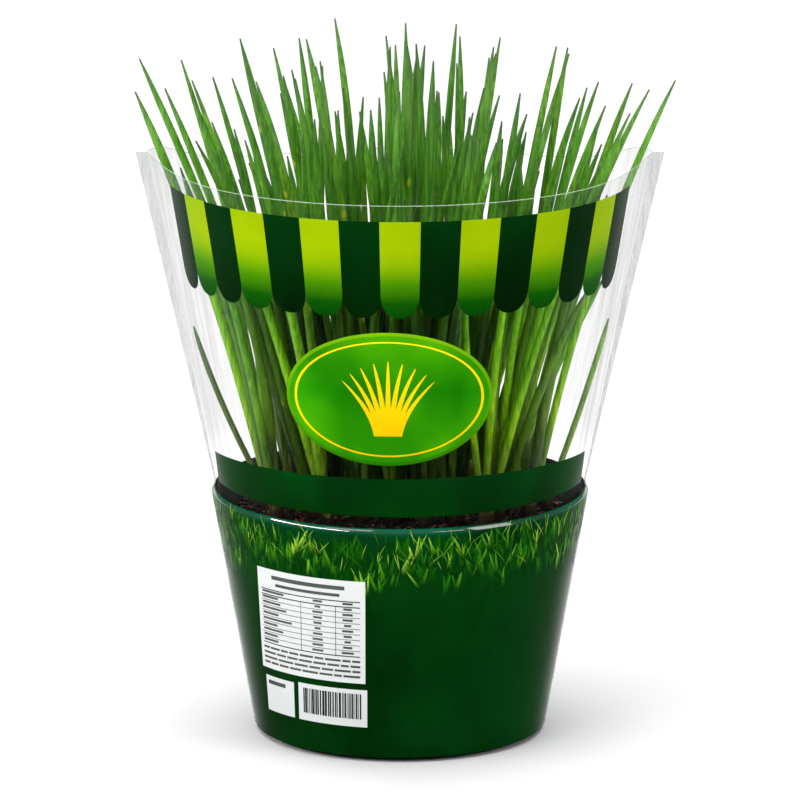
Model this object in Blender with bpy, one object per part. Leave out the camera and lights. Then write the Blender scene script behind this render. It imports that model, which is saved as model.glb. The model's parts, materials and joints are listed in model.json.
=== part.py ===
# A living chive plant in its black nursery pot, wrapped in a tapered film sleeve.
#
# Metres, +Z up. The origin is the middle of the pot's underside, and the front
# of the sleeve faces -Y. The weld seams of the sleeve run down its two sides.

import math
import random

import bmesh
import bpy
from mathutils import Vector, noise

# Pot
POT_HEIGHT = 0.094
POT_WALL = 0.0012
POT_FOOT_RADIUS = 0.0520
POT_WALL_TOP_RADIUS = 0.0668
COLLAR_FOOT = 0.0860
FOOT_DISC_RADIUS = 0.020
FOOT_GROOVE_RADIUS = 0.040
FOOT_GROOVE_HEIGHT = 0.0015
FOOT_GROOVE_SLOPE = 0.0020
POT_EDGE = 0.0010
DRAIN_COUNT = 8
DRAIN_RADIUS = 0.0035
DRAIN_CUT = (-0.002, 0.006)
DRAIN_SIDES = 10
POT_SIDES = 48

# Sleeve, whose sizes are those of its outer face
FILM_THICKNESS = 0.0005
SLEEVE_FOOT_HEIGHT = 0.0010
SLEEVE_FOOT_RADIUS = 0.0551
SLEEVE_MIDDLE_HEIGHT = 0.0500
SLEEVE_RIM_RADIUS = 0.0720
SLEEVE_NECK_HEIGHT = 0.1000
SLEEVE_NECK_RADIUS = 0.0712
SLEEVE_MOUTH_HEIGHT = 0.2263
SLEEVE_MOUTH_RADIUS = 0.0968
SLEEVE_BACK_HEIGHT = 0.2078
BACK_CUT_POWER = 6
PANEL_PULL = 0.22
PANEL_PULL_ANGLE = math.radians(50)
SEAM_THICKNESS = 0.0008
SEAM_WIDTH_BELOW_RIM = 0.0006
SEAM_WIDTH_AT_MOUTH = 0.0041
SLEEVE_COLUMNS = 60
SLEEVE_LOWER_ROWS = (SLEEVE_FOOT_HEIGHT, SLEEVE_MIDDLE_HEIGHT, POT_HEIGHT, SLEEVE_NECK_HEIGHT)
SLEEVE_UPPER_SHARES = (0.34, 0.67, 1.0)

# Soil
SOIL_HEIGHT = 0.0868
SOIL_LUMP = 0.0016
LUMPS_PER_METRE = 95.0
LUMP_PLACE = Vector((3.1, 7.7, 0.4))
CRUMBS_PER_METRE = 260.0
CRUMB_PLACE = Vector((9.2, 1.3, 5.8))
CRUMB_SHARE = 0.45
SOIL_DROOP = 0.0012
SOIL_FOOT_INSET = 0.0008
SOIL_SIDES = 40
SOIL_RINGS = 8

# Gap between pieces that rest in each other
GAP = 0.0003

# Corners duller than this many degrees are shaded smooth
SMOOTH_ANGLE = 35.0
SOIL_SMOOTH_ANGLE = 60.0

# Plants
CLUMP_COUNT = 37
CLUMP_SPACING = 0.0136
SPACING_EASE = 0.004
BED_RADIUS = 0.0535
BED_FRONT = 0.0300
LEAVES_PER_CLUMP = (4, 5, 5, 6)
SHEATH_RADIUS = 0.0031
SHEATH_SIDES = 6
SHEATH_FOOT = 0.070
SHEATH_TOP = 0.103
SHEATH_SHOULDER = 0.75
SHEATH_NARROWING = 0.5
HOLE_TOP = 0.100
LEAF_ROOT = 0.0885
LEAF_OFFSET = 0.0008
LEAF_SIDES = 5
LEAF_RINGS = (0.0, 0.35, 0.70, 0.90, 1.0)
LEAF_RADIUS = (0.0015, 0.0023)
LEAF_TIP_RADIUS = 0.0003
LEAF_FOOT_SHARE = 0.76
LEAF_FOOT_GROWTH = 1.5
LEAF_SLIMMING = 0.14
TAPER_START = 0.50
TAPER_POWER = 7.0
TANGENT_STEP = 0.01
TIP_HEIGHT = (0.212, 0.271)
TIP_POWER = 0.72
TIP_DROP = 0.017
FAN_LEAN = 0.20
FAN_CURL = 0.11
CURL_POWER = 2.4
SPREAD = 0.045
WANDER = 0.070
SWAY_SHARE = 0.6
TURN_WANDER = 0.5
SPLIT_HEIGHT = 0.122
CHECK_LEVELS = [0.090 + 0.004 * step for step in range(47)]
SLANT = 0.93
MOST_TRIES = 260
SHORT_LEAF = (0.5, 0.9)
SLEEVE_ROOM = 0.0015
MOUTH_ROOM = 0.006
SEED = 75

# A short shoot leans out of the pot on each side: foot, tip and radius
SIDE_SHOOTS = (
    {"side": -1, "foot": 0.0495, "reach": 0.0790, "bow": 0.0066, "height": 0.158},
    {"side": 1, "foot": 0.0560, "reach": 0.0798, "bow": 0.0029, "height": 0.161},
)
SHOOT_RADIUS = 0.0013


def clear_scene():
    for obj in list(bpy.data.objects):
        bpy.data.objects.remove(obj, do_unlink=True)


def make_material(name, colour, roughness, metallic=0.0, alpha=1.0):
    material = bpy.data.materials.new(name)
    material.use_nodes = True
    shader = material.node_tree.nodes["Principled BSDF"]
    shader.inputs["Base Color"].default_value = (*colour, 1.0)
    shader.inputs["Roughness"].default_value = roughness
    shader.inputs["Metallic"].default_value = metallic
    shader.inputs["Alpha"].default_value = alpha
    material.diffuse_color = (*colour, alpha)
    return material


def make_object(name, mesh_builder, material, smooth_angle=SMOOTH_ANGLE):
    """An object from a filled bmesh, shaded smooth up to an angle in degrees."""
    mesh = bpy.data.meshes.new(name)
    mesh_builder.to_mesh(mesh)
    mesh_builder.free()
    mesh.materials.append(material)
    mesh.shade_smooth()
    mesh.set_sharp_from_angle(angle=math.radians(smooth_angle))
    obj = bpy.data.objects.new(name, mesh)
    bpy.context.scene.collection.objects.link(obj)
    return obj


def apply_modifiers(obj):
    graph = bpy.context.evaluated_depsgraph_get()
    mesh = bpy.data.meshes.new_from_object(obj.evaluated_get(graph))
    obj.modifiers.clear()
    obj.data = mesh
    mesh.shade_smooth()
    mesh.set_sharp_from_angle(angle=math.radians(SMOOTH_ANGLE))


def combine(obj, others, operation, solver="EXACT"):
    """Joins other objects to one, or cuts them from it, and removes them."""
    group = bpy.data.collections.new(obj.name + "_others")
    bpy.context.scene.collection.children.link(group)
    for other in others:
        bpy.context.scene.collection.objects.unlink(other)
        group.objects.link(other)
    boolean = obj.modifiers.new(operation.lower(), "BOOLEAN")
    boolean.operation = operation
    boolean.operand_type = "COLLECTION"
    boolean.collection = group
    boolean.solver = solver
    apply_modifiers(obj)
    for other in others:
        bpy.data.objects.remove(other, do_unlink=True)
    bpy.data.collections.remove(group)


def between(low, high, share):
    return low + (high - low) * share


def on_line(height, low_height, low_value, high_height, high_value):
    """The value at a height on the straight line through two points."""
    share = (height - low_height) / (high_height - low_height)
    return between(low_value, high_value, share)


def ring_points(radius, height, count, turn=0.0):
    step = math.tau / count
    return [
        Vector((radius * math.cos(turn + step * k), radius * math.sin(turn + step * k), height))
        for k in range(count)
    ]


def bridge(builder, lower, upper):
    """Faces between two rings of the same count, facing away from their middle."""
    count = len(lower)
    for k in range(count):
        after = (k + 1) % count
        builder.faces.new((lower[k], lower[after], upper[after], upper[k]))


def turned(profile, sides):
    """A body turned round Z from a closed half profile that starts and ends on the axis."""
    builder = bmesh.new()
    rings = []
    for radius, height in profile:
        if radius == 0:
            rings.append([builder.verts.new((0, 0, height))])
        else:
            rings.append([builder.verts.new(point) for point in ring_points(radius, height, sides)])
    for lower, upper in zip(rings, rings[1:]):
        if len(lower) == 1:
            for k in range(sides):
                builder.faces.new((lower[0], upper[(k + 1) % sides], upper[k]))
        elif len(upper) == 1:
            for k in range(sides):
                builder.faces.new((lower[k], lower[(k + 1) % sides], upper[0]))
        else:
            bridge(builder, lower, upper)
    return builder


# The sleeve's shape, which the pot and the leaves have to stay inside
def sleeve_radius(height):
    """Outer radius of the film: straight to the rim, nipped in above it, straight to the mouth."""
    if height <= POT_HEIGHT:
        return on_line(height, 0.0, SLEEVE_FOOT_RADIUS, POT_HEIGHT, SLEEVE_RIM_RADIUS)
    if height <= SLEEVE_NECK_HEIGHT:
        return on_line(height, POT_HEIGHT, SLEEVE_RIM_RADIUS, SLEEVE_NECK_HEIGHT, SLEEVE_NECK_RADIUS)
    return on_line(
        height, SLEEVE_NECK_HEIGHT, SLEEVE_NECK_RADIUS, SLEEVE_MOUTH_HEIGHT, SLEEVE_MOUTH_RADIUS
    )


def flare(height):
    """How far up the flare a height is, from 0 at the neck to 1 at the mouth."""
    return max(0.0, on_line(height, SLEEVE_NECK_HEIGHT, 0.0, SLEEVE_MOUTH_HEIGHT, 1.0))


def film_radius(height, angle):
    """Outer radius of the film. Its two flat panels meet at a point at each weld, so beside the
    welds the flare is drawn in from the round."""
    beside = min(1.0, math.asin(min(1.0, abs(math.sin(angle)))) / PANEL_PULL_ANGLE)
    pull = PANEL_PULL * beside * (1 - beside) ** 2
    return sleeve_radius(height) * (1 - pull * flare(height))


def sleeve_top(angle):
    """Height of the sleeve's cut edge: level in front, and dropping behind each weld."""
    if math.sin(angle) <= 0:
        return SLEEVE_MOUTH_HEIGHT
    return between(SLEEVE_BACK_HEIGHT, SLEEVE_MOUTH_HEIGHT, abs(math.cos(angle)) ** BACK_CUT_POWER)


def seam_width(height):
    return between(SEAM_WIDTH_BELOW_RIM, SEAM_WIDTH_AT_MOUTH, flare(height))


def sleeve_height(row, angle):
    """Height of a row of the film: level up to the neck, then fanned out to the cut edge."""
    if row < len(SLEEVE_LOWER_ROWS):
        return SLEEVE_LOWER_ROWS[row]
    share = SLEEVE_UPPER_SHARES[row - len(SLEEVE_LOWER_ROWS)]
    return between(SLEEVE_NECK_HEIGHT, sleeve_top(angle), share)


def film_point(angle, height, reach, sideways=0.0):
    """A point near the film, by its reach out from the outer face and its place round it."""
    outward = Vector((math.cos(angle), math.sin(angle), 0))
    along = Vector((-outward.y, outward.x, 0))
    lift = Vector((0, 0, height))
    return outward * (film_radius(height, angle) + reach) + along * sideways + lift


def sleeve_row(row):
    """The outer and inner outline of the film at one row, with a weld seam at each side."""
    outer = []
    inner = []
    half = SEAM_THICKNESS / 2
    for column in range(SLEEVE_COLUMNS):
        angle = math.tau * column / SLEEVE_COLUMNS
        height = sleeve_height(row, angle)
        if column % (SLEEVE_COLUMNS // 2):
            outer.append(film_point(angle, height, 0.0))
            inner.append(film_point(angle, height, -FILM_THICKNESS))
            continue
        width = seam_width(height)
        for reach, sideways in ((0.0, -half), (width, -half), (width, half), (0.0, half)):
            outer.append(film_point(angle, height, reach, sideways))
        for sideways in (-half, -half / 3, half / 3, half):
            inner.append(film_point(angle, height, -FILM_THICKNESS, sideways))
    return outer, inner


def build_sleeve(material):
    builder = bmesh.new()
    outers = []
    inners = []
    for row in range(len(SLEEVE_LOWER_ROWS) + len(SLEEVE_UPPER_SHARES)):
        outer, inner = sleeve_row(row)
        outers.append([builder.verts.new(point) for point in outer])
        inners.append([builder.verts.new(point) for point in inner])
    for lower, upper in zip(outers, outers[1:]):
        bridge(builder, lower, upper)
    for lower, upper in zip(inners, inners[1:]):
        bridge(builder, upper, lower)
    bridge(builder, inners[0], outers[0])
    bridge(builder, outers[-1], inners[-1])
    return make_object("printed_sleeve", builder, material)


def collar_radius(height):
    return sleeve_radius(height) - FILM_THICKNESS - GAP


def pot_wall_radius(height):
    """Outer radius of the pot's wall below its collar."""
    return on_line(height, 0.0, POT_FOOT_RADIUS, COLLAR_FOOT, POT_WALL_TOP_RADIUS)


def pot_profile():
    """The pot's half section: under its foot, up the outside, over the rim and down inside."""
    groove = FOOT_GROOVE_HEIGHT
    slope = FOOT_GROOVE_SLOPE
    edge = POT_EDGE
    floor = POT_WALL
    return [
        (0, 0),
        (FOOT_DISC_RADIUS, 0),
        (FOOT_DISC_RADIUS + slope, groove),
        (FOOT_GROOVE_RADIUS, groove),
        (FOOT_GROOVE_RADIUS + slope, 0),
        (POT_FOOT_RADIUS - edge, 0),
        (pot_wall_radius(edge), edge),
        (pot_wall_radius(COLLAR_FOOT), COLLAR_FOOT),
        (collar_radius(COLLAR_FOOT + edge), COLLAR_FOOT + edge),
        (collar_radius(POT_HEIGHT - edge), POT_HEIGHT - edge),
        (collar_radius(POT_HEIGHT) - edge, POT_HEIGHT),
        (collar_radius(POT_HEIGHT) - 2 * edge, POT_HEIGHT),
        (collar_radius(COLLAR_FOOT + 2 * edge) - 2 * edge, COLLAR_FOOT + 2 * edge),
        (pot_wall_radius(COLLAR_FOOT) - POT_WALL, COLLAR_FOOT + edge / 2),
        (pot_wall_radius(2 * edge) - POT_WALL, 2 * edge),
        (POT_FOOT_RADIUS - POT_WALL - edge, floor),
        (FOOT_GROOVE_RADIUS + slope, floor),
        (FOOT_GROOVE_RADIUS, floor + groove),
        (FOOT_DISC_RADIUS + slope, floor + groove),
        (FOOT_DISC_RADIUS, floor),
        (0, floor),
    ]


def build_pot(material):
    pot = make_object("nursery_pot", turned(pot_profile(), POT_SIDES), material)
    cutters = []
    across = (FOOT_DISC_RADIUS + FOOT_GROOVE_SLOPE + FOOT_GROOVE_RADIUS) / 2
    for drain in range(DRAIN_COUNT):
        turn = math.tau * (drain + 0.5) / DRAIN_COUNT
        cutter = make_prism("drain", DRAIN_RADIUS, *DRAIN_CUT, DRAIN_SIDES, material)
        cutter.location = (across * math.cos(turn), across * math.sin(turn), 0)
        cutters.append(cutter)
    bpy.context.view_layer.update()
    combine(pot, cutters, "DIFFERENCE")
    return pot


def make_prism(name, radius, foot, top, sides, material):
    builder = turned([(0, foot), (radius, foot), (radius, top), (0, top)], sides)
    return make_object(name, builder, material)


def soil_surface(x, y):
    """Height of the lumpy soil, a little lower towards the pot's wall."""
    place = Vector((x, y, 0.0))
    lump = noise.noise(place * LUMPS_PER_METRE + LUMP_PLACE)
    crumb = noise.noise(place * CRUMBS_PER_METRE + CRUMB_PLACE)
    droop = SOIL_DROOP * (place.length / BED_RADIUS) ** 4
    return SOIL_HEIGHT + SOIL_LUMP * (lump + CRUMB_SHARE * crumb) - droop


def build_soil(material, clumps):
    foot = POT_WALL + FOOT_GROOVE_HEIGHT + GAP
    foot_radius = pot_wall_radius(foot) - POT_WALL - GAP - SOIL_FOOT_INSET
    shoulder = SOIL_HEIGHT - 4 * SOIL_LUMP
    side_radius = pot_wall_radius(shoulder) - POT_WALL - GAP
    builder = bmesh.new()
    middle_foot = builder.verts.new((0, 0, foot))
    foot_ring = [builder.verts.new(p) for p in ring_points(foot_radius, foot, SOIL_SIDES)]
    for k in range(SOIL_SIDES):
        builder.faces.new((middle_foot, foot_ring[(k + 1) % SOIL_SIDES], foot_ring[k]))
    side_ring = [builder.verts.new(p) for p in ring_points(side_radius, shoulder, SOIL_SIDES)]
    bridge(builder, foot_ring, side_ring)
    below = side_ring
    for ring in range(SOIL_RINGS, 0, -1):
        points = ring_points(side_radius * ring / SOIL_RINGS, 0.0, SOIL_SIDES)
        level = [builder.verts.new((p.x, p.y, soil_surface(p.x, p.y))) for p in points]
        bridge(builder, below, level)
        below = level
    middle_top = builder.verts.new((0, 0, soil_surface(0, 0)))
    for k in range(SOIL_SIDES):
        builder.faces.new((below[k], below[(k + 1) % SOIL_SIDES], middle_top))
    soil = make_object("potting_soil", builder, material, SOIL_SMOOTH_ANGLE)
    holes = []
    for clump in clumps:
        size = (SHEATH_RADIUS + GAP, SHEATH_FOOT - GAP, HOLE_TOP)
        hole = make_prism("hole", *size, SHEATH_SIDES, material)
        hole.location = (clump["middle"].x, clump["middle"].y, 0)
        holes.append(hole)
    bpy.context.view_layer.update()
    combine(soil, holes, "DIFFERENCE")
    return soil


# The plants: a seeded rule sets the clumps out and fans their leaves
def clump_middles(draw, placed):
    """Places on the soil, kept apart from each other and from those already placed."""
    middles = []
    while len(middles) < CLUMP_COUNT:
        turn = draw.uniform(0, math.tau)
        reach = BED_RADIUS * math.sqrt(draw.random())
        place = Vector((reach * math.cos(turn), reach * math.sin(turn)))
        spacing = CLUMP_SPACING * (1 - SPACING_EASE * len(middles))
        clear = all((place - other).length > spacing for other in placed + middles)
        if clear and place.y > -BED_FRONT:
            middles.append(place)
    return middles


def leaf_middle(leaf, share):
    """A point on a leaf's middle line, from its root at 0 to its tip at 1."""
    reach = leaf["lean"] * share + leaf["curl"] * share**CURL_POWER
    flat = leaf["root"] + reach * leaf["rise"]
    return Vector((flat.x, flat.y, LEAF_ROOT + leaf["rise"] * share))


def leaf_radius(leaf, share):
    """A narrow foot in the sheath, full by a fifth of the height, tapering from past the middle."""
    foot = min(1.0, LEAF_FOOT_SHARE + LEAF_FOOT_GROWTH * share)
    tapered = max(0.0, on_line(share, TAPER_START, 0.0, 1.0, 1.0)) ** TAPER_POWER
    taper = 1 - LEAF_SLIMMING * share - (1 - LEAF_SLIMMING) * tapered
    return max(LEAF_TIP_RADIUS, leaf["radius"] * foot * taper)


def leaf_levels(leaf):
    """Places and radii of a leaf at the levels where leaves are kept clear."""
    found = []
    for height in CHECK_LEVELS:
        share = (height - LEAF_ROOT) / leaf["rise"]
        if share > 1:
            break
        found.append((leaf_middle(leaf, share), leaf_radius(leaf, share)))
    return found


def fits_sleeve(levels):
    for middle, radius in levels:
        angle = math.atan2(middle.y, middle.x)
        if middle.z > sleeve_top(angle) + MOUTH_ROOM:
            break
        if middle.xy.length + radius > film_radius(middle.z, angle) - SLEEVE_ROOM:
            return False
    return True


def clear_of(levels, others, start):
    """Whether a leaf clears others at every level above a height, for the slant of both."""
    for other in others:
        for (middle, radius), (near, near_radius) in zip(levels, other):
            if middle.z < start:
                continue
            if (middle - near).length * SLANT < radius + near_radius + GAP:
                return False
    return True


def draw_leaf(draw, middle, turn):
    """One leaf from a clump: it fans with its place in the pot and wanders a little."""
    out = middle / BED_RADIUS
    away = Vector((math.cos(turn), math.sin(turn)))
    stray = Vector((draw.gauss(0, WANDER), draw.gauss(0, WANDER)))
    sway = Vector((draw.gauss(0, WANDER * SWAY_SHARE), draw.gauss(0, WANDER * SWAY_SHARE)))
    tip = between(*TIP_HEIGHT, draw.random() ** TIP_POWER) - TIP_DROP * out.length_squared
    return {
        "root": middle + away * LEAF_OFFSET,
        "lean": out * FAN_LEAN + away * SPREAD + stray,
        "curl": out * FAN_CURL + sway,
        "rise": tip - LEAF_ROOT,
        "radius": between(*LEAF_RADIUS, draw.random()),
    }


def side_shoot(shoot):
    """The clump of one short leaf at a side of the pot, which leans out and bows back up."""
    side = shoot["side"]
    middle = Vector((side * shoot["foot"], 0.0))
    rise = shoot["height"] - LEAF_ROOT
    leaf = {
        "root": middle,
        "lean": Vector((side * (shoot["reach"] - shoot["foot"] + shoot["bow"]) / rise, 0.0)),
        "curl": Vector((-side * shoot["bow"] / rise, 0.0)),
        "rise": rise,
        "radius": SHOOT_RADIUS,
    }
    return {"middle": middle, "leaves": [leaf]}


def plan_clumps():
    draw = random.Random(SEED)
    clumps = [side_shoot(shoot) for shoot in SIDE_SHOOTS]
    taken = [leaf_levels(leaf) for clump in clumps for leaf in clump["leaves"]]
    for middle in clump_middles(draw, [clump["middle"] for clump in clumps]):
        leaves = []
        own = []
        count = draw.choice(LEAVES_PER_CLUMP)
        first = draw.uniform(0, math.tau)
        for k in range(count):
            for attempt in range(MOST_TRIES):
                stray = draw.uniform(-TURN_WANDER, TURN_WANDER)
                turn = first + math.tau * k / count + stray
                leaf = draw_leaf(draw, middle, turn)
                if attempt > MOST_TRIES / 2:
                    leaf["rise"] *= draw.uniform(*SHORT_LEAF)
                levels = leaf_levels(leaf)
                clear = clear_of(levels, own, SPLIT_HEIGHT) and clear_of(levels, taken, 0.0)
                if clear and fits_sleeve(levels):
                    leaves.append(leaf)
                    own.append(levels)
                    break
        taken.extend(own)
        clumps.append({"middle": middle, "leaves": leaves})
    return clumps


def leaf_object(leaf, material):
    builder = bmesh.new()
    rings = []
    for share in LEAF_RINGS:
        middle = leaf_middle(leaf, share)
        ahead = leaf_middle(leaf, share + TANGENT_STEP) - middle
        across = ahead.cross(Vector((0, 1, 0))).normalized()
        other = ahead.cross(across).normalized()
        radius = leaf_radius(leaf, share)
        ring = []
        for k in range(LEAF_SIDES):
            turn = math.tau * k / LEAF_SIDES
            ring.append(middle + radius * (across * math.cos(turn) + other * math.sin(turn)))
        rings.append([builder.verts.new(point) for point in ring])
    for lower, upper in zip(rings, rings[1:]):
        bridge(builder, lower, upper)
    builder.faces.new(list(reversed(rings[0])))
    builder.faces.new(rings[-1])
    return make_object("leaf", builder, material)


def build_clump(name, clump, material):
    """A short sheath in its hole, with the leaves of the clump grown out of it."""
    profile = [
        (0, SHEATH_FOOT),
        (SHEATH_RADIUS, SHEATH_FOOT),
        (SHEATH_RADIUS, between(SHEATH_FOOT, SHEATH_TOP, SHEATH_SHOULDER)),
        (SHEATH_RADIUS * SHEATH_NARROWING, SHEATH_TOP),
        (0, SHEATH_TOP),
    ]
    sheath = make_object(name, turned(profile, SHEATH_SIDES), material)
    for vertex in sheath.data.vertices:
        vertex.co += Vector((clump["middle"].x, clump["middle"].y, 0))
    leaves = [leaf_object(leaf, material) for leaf in clump["leaves"]]
    combine(sheath, leaves, "UNION", "MANIFOLD")
    return sheath


def main():
    clear_scene()
    pot_plastic = make_material("pot_plastic", (0.012, 0.012, 0.013), 0.45)
    soil_brown = make_material("potting_soil", (0.035, 0.020, 0.012), 0.95)
    film_green = make_material("printed_film", (0.01, 0.10, 0.025), 0.15, alpha=0.35)
    leaf_green = make_material("chive_leaf", (0.07, 0.22, 0.05), 0.40)
    clumps = plan_clumps()
    build_pot(pot_plastic)
    build_soil(soil_brown, clumps)
    build_sleeve(film_green)
    for number, clump in enumerate(clumps, 1):
        build_clump(f"chive_clump_{number:02d}", clump, leaf_green)
    print(len(clumps), "clumps with", sum(len(clump["leaves"]) for clump in clumps), "leaves")


main()
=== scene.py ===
# %% [markdown]
# Living chives are sold in a thin black nursery pot with a printed film sleeve round pot and leaves.
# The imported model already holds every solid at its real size. This lesson dresses them, piece by
# piece: leaves first, then soil and pot, then the clear film and the ink that is printed on it.
# Nothing is moved or resized, so each piece is worked out from the same sizes as the solids.

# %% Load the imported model
import json
import math
import random

import bmesh
import bpy
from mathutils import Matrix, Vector, noise

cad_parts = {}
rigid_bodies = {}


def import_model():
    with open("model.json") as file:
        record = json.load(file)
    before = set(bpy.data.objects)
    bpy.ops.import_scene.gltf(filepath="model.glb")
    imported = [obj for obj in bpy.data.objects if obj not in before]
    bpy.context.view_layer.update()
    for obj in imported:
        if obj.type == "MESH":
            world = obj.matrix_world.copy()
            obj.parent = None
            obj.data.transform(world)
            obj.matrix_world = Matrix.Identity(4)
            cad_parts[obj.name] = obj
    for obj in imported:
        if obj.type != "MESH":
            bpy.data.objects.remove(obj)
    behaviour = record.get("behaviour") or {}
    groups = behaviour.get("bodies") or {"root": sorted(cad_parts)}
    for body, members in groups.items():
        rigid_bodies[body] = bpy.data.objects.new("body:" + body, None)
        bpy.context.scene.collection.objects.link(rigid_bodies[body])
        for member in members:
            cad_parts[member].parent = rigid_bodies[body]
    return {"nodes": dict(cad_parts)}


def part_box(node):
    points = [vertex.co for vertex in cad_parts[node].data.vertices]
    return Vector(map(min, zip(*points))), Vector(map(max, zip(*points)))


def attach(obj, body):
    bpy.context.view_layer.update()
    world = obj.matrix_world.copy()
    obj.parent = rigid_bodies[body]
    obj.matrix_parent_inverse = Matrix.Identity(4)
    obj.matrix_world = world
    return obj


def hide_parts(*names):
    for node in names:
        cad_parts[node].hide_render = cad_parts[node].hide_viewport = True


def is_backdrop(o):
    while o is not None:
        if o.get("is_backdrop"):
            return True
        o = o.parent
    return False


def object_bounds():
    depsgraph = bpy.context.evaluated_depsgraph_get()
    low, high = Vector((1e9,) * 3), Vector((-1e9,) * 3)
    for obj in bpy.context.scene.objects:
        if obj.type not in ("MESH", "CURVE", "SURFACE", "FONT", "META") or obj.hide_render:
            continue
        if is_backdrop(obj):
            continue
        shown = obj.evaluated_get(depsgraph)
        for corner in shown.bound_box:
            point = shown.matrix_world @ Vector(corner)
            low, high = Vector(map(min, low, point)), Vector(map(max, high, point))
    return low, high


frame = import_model()
cad_low, cad_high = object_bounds()
scene = bpy.context.scene
print(len(frame["nodes"]), "solids, whole object", [round(x, 4) for x in cad_high - cad_low], "m")

# %% [markdown]
# A render in the plain Standard view keeps a printed green as green as the ink. The camera of the
# photograph stood far away with a long lens, a little above the mouth of the sleeve. Its distance
# and tilt follow from how open the circles of the foot, the rim and the mouth look.

# %% Camera
IMAGE_PIXELS = 800
FOCAL_PIXELS = 10952
SENSOR_WIDTH_MM = 36.0
CAMERA_DISTANCE = 4.2
CAMERA_PITCH = math.radians(13.43)
AIM_HEIGHT = 0.129

camera_data = bpy.data.cameras.new("camera")
camera_data.sensor_width = SENSOR_WIDTH_MM
camera_data.lens = SENSOR_WIDTH_MM * FOCAL_PIXELS / IMAGE_PIXELS
camera_data.clip_end = 20
camera = bpy.data.objects.new("camera", camera_data)
scene.collection.objects.link(camera)
camera.location = (
    0,
    -CAMERA_DISTANCE * math.cos(CAMERA_PITCH),
    AIM_HEIGHT + CAMERA_DISTANCE * math.sin(CAMERA_PITCH),
)
camera.rotation_euler = (math.pi / 2 - CAMERA_PITCH, 0, 0)
scene.camera = camera
scene.view_settings.view_transform = "Standard"
print("lens", round(camera_data.lens, 1), "mm at", CAMERA_DISTANCE, "m")

# %% [markdown]
# Trees of nodes make both the shapes that repeat and the finishes. One helper adds a node and fills
# its inputs by name. What it returns can be added, multiplied and raised like a number, and each
# sum adds its own node. A colour is written as it looks on a screen, from 0 to 255.

# %% Tools for trees of nodes
class Made:
    """A node in a tree and one of its outputs. A sum on it adds one more node."""

    def __init__(self, tree, node, output=None):
        self.tree = tree
        self.node = node
        self.output = output or next((socket for socket in node.outputs if socket.enabled), None)

    def __getitem__(self, name):
        return Made(self.tree, self.node, self.node.outputs[name])

    def __add__(self, other):
        return work("ADD", self, other)

    def __sub__(self, other):
        return work("SUBTRACT", self, other)

    def __rsub__(self, other):
        return work("SUBTRACT", other, self)

    def __mul__(self, other):
        return work("MULTIPLY", self, other)

    def __truediv__(self, other):
        return work("DIVIDE", self, other)

    def __pow__(self, other):
        return work("POWER", self, other)


def feed(made, inputs):
    """Fills a node's inputs by place or by name, passing over those that its options hide."""
    for name, value in inputs.items():
        socket = made.node.inputs[name]
        if isinstance(name, str):
            socket = next(each for each in made.node.inputs if each.name == name and each.enabled)
        if isinstance(value, Made):
            made.tree.links.new(value.output, socket)
        else:
            socket.default_value = value
    return made


def put(tree, kind, inputs=None, **options):
    """Adds a node to a tree, with its options and its inputs."""
    node = tree.nodes.new(kind)
    for option, value in options.items():
        setattr(node, option, value)
    return feed(Made(tree, node), inputs or {})


def is_vector(value):
    return isinstance(value, tuple) or (isinstance(value, Made) and value.output.type == "VECTOR")


def work(operation, *values, clamp=False):
    """A sum such as MULTIPLY or SMOOTH_MAX, on numbers or on vectors."""
    tree = next(value.tree for value in values if isinstance(value, Made))
    inputs = dict(enumerate(values))
    vectors = [is_vector(value) for value in values]
    if not any(vectors):
        return put(tree, "ShaderNodeMath", inputs, operation=operation, use_clamp=clamp)
    if not all(vectors):
        operation = "SCALE"
        inputs = {0: values[0], "Scale": values[1]}
    return put(tree, "ShaderNodeVectorMath", inputs, operation=operation)


def vector(tree, **parts):
    return put(tree, "ShaderNodeCombineXYZ", parts)


def parts_of(value):
    return put(value.tree, "ShaderNodeSeparateXYZ", {0: value})


def spread(value, low, high, new_low=0.0, new_high=1.0, smooth=False):
    """A value carried from one range to another and held at its ends."""
    inputs = {"Value": value, "From Min": low, "From Max": high, "To Min": new_low, "To Max": new_high}
    kind = "SMOOTHSTEP" if smooth else "LINEAR"
    return put(value.tree, "ShaderNodeMapRange", inputs, interpolation_type=kind)


def add_inputs(tree, sizes):
    """Named inputs of a tree or group, with their first values. Returns them by name."""
    kinds = {int: "NodeSocketInt", float: "NodeSocketFloat", tuple: "NodeSocketVector"}
    for label, value in sizes.items():
        socket = tree.interface.new_socket(label, in_out="INPUT", socket_type=kinds[type(value)])
        socket.default_value = value
    entry = tree.nodes.new("NodeGroupInput")
    return {socket.name: Made(tree, entry, socket) for socket in entry.outputs if socket.name}


def ink(red, green, blue):
    """A screen colour of 0 to 255 as linear light."""
    def linear(value):
        share = value / 255
        return share / 12.92 if share <= 0.04045 else ((share + 0.055) / 1.055) ** 2.4
    return (linear(red), linear(green), linear(blue), 1.0)


# %% [markdown]
# A Geometry Nodes tree gets its sizes through named inputs. The modifier knows an input by its
# socket's identifier, so the helper looks that up before the object is first evaluated. What comes
# out is kept as a plain mesh at the origin, and the modifier is gone before the piece is finished.

# %% Tools for geometry trees
SHARP_ANGLE = math.radians(50)


def geometry_tree(name, sizes):
    """A new tree that takes a geometry, a material and named sizes. Returns it and its inputs."""
    tree = bpy.data.node_groups.new(name, "GeometryNodeTree")
    tree.interface.new_socket("Geometry", in_out="INPUT", socket_type="NodeSocketGeometry")
    tree.interface.new_socket("Geometry", in_out="OUTPUT", socket_type="NodeSocketGeometry")
    tree.interface.new_socket("Material", in_out="INPUT", socket_type="NodeSocketMaterial")
    return tree, add_inputs(tree, sizes)


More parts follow.
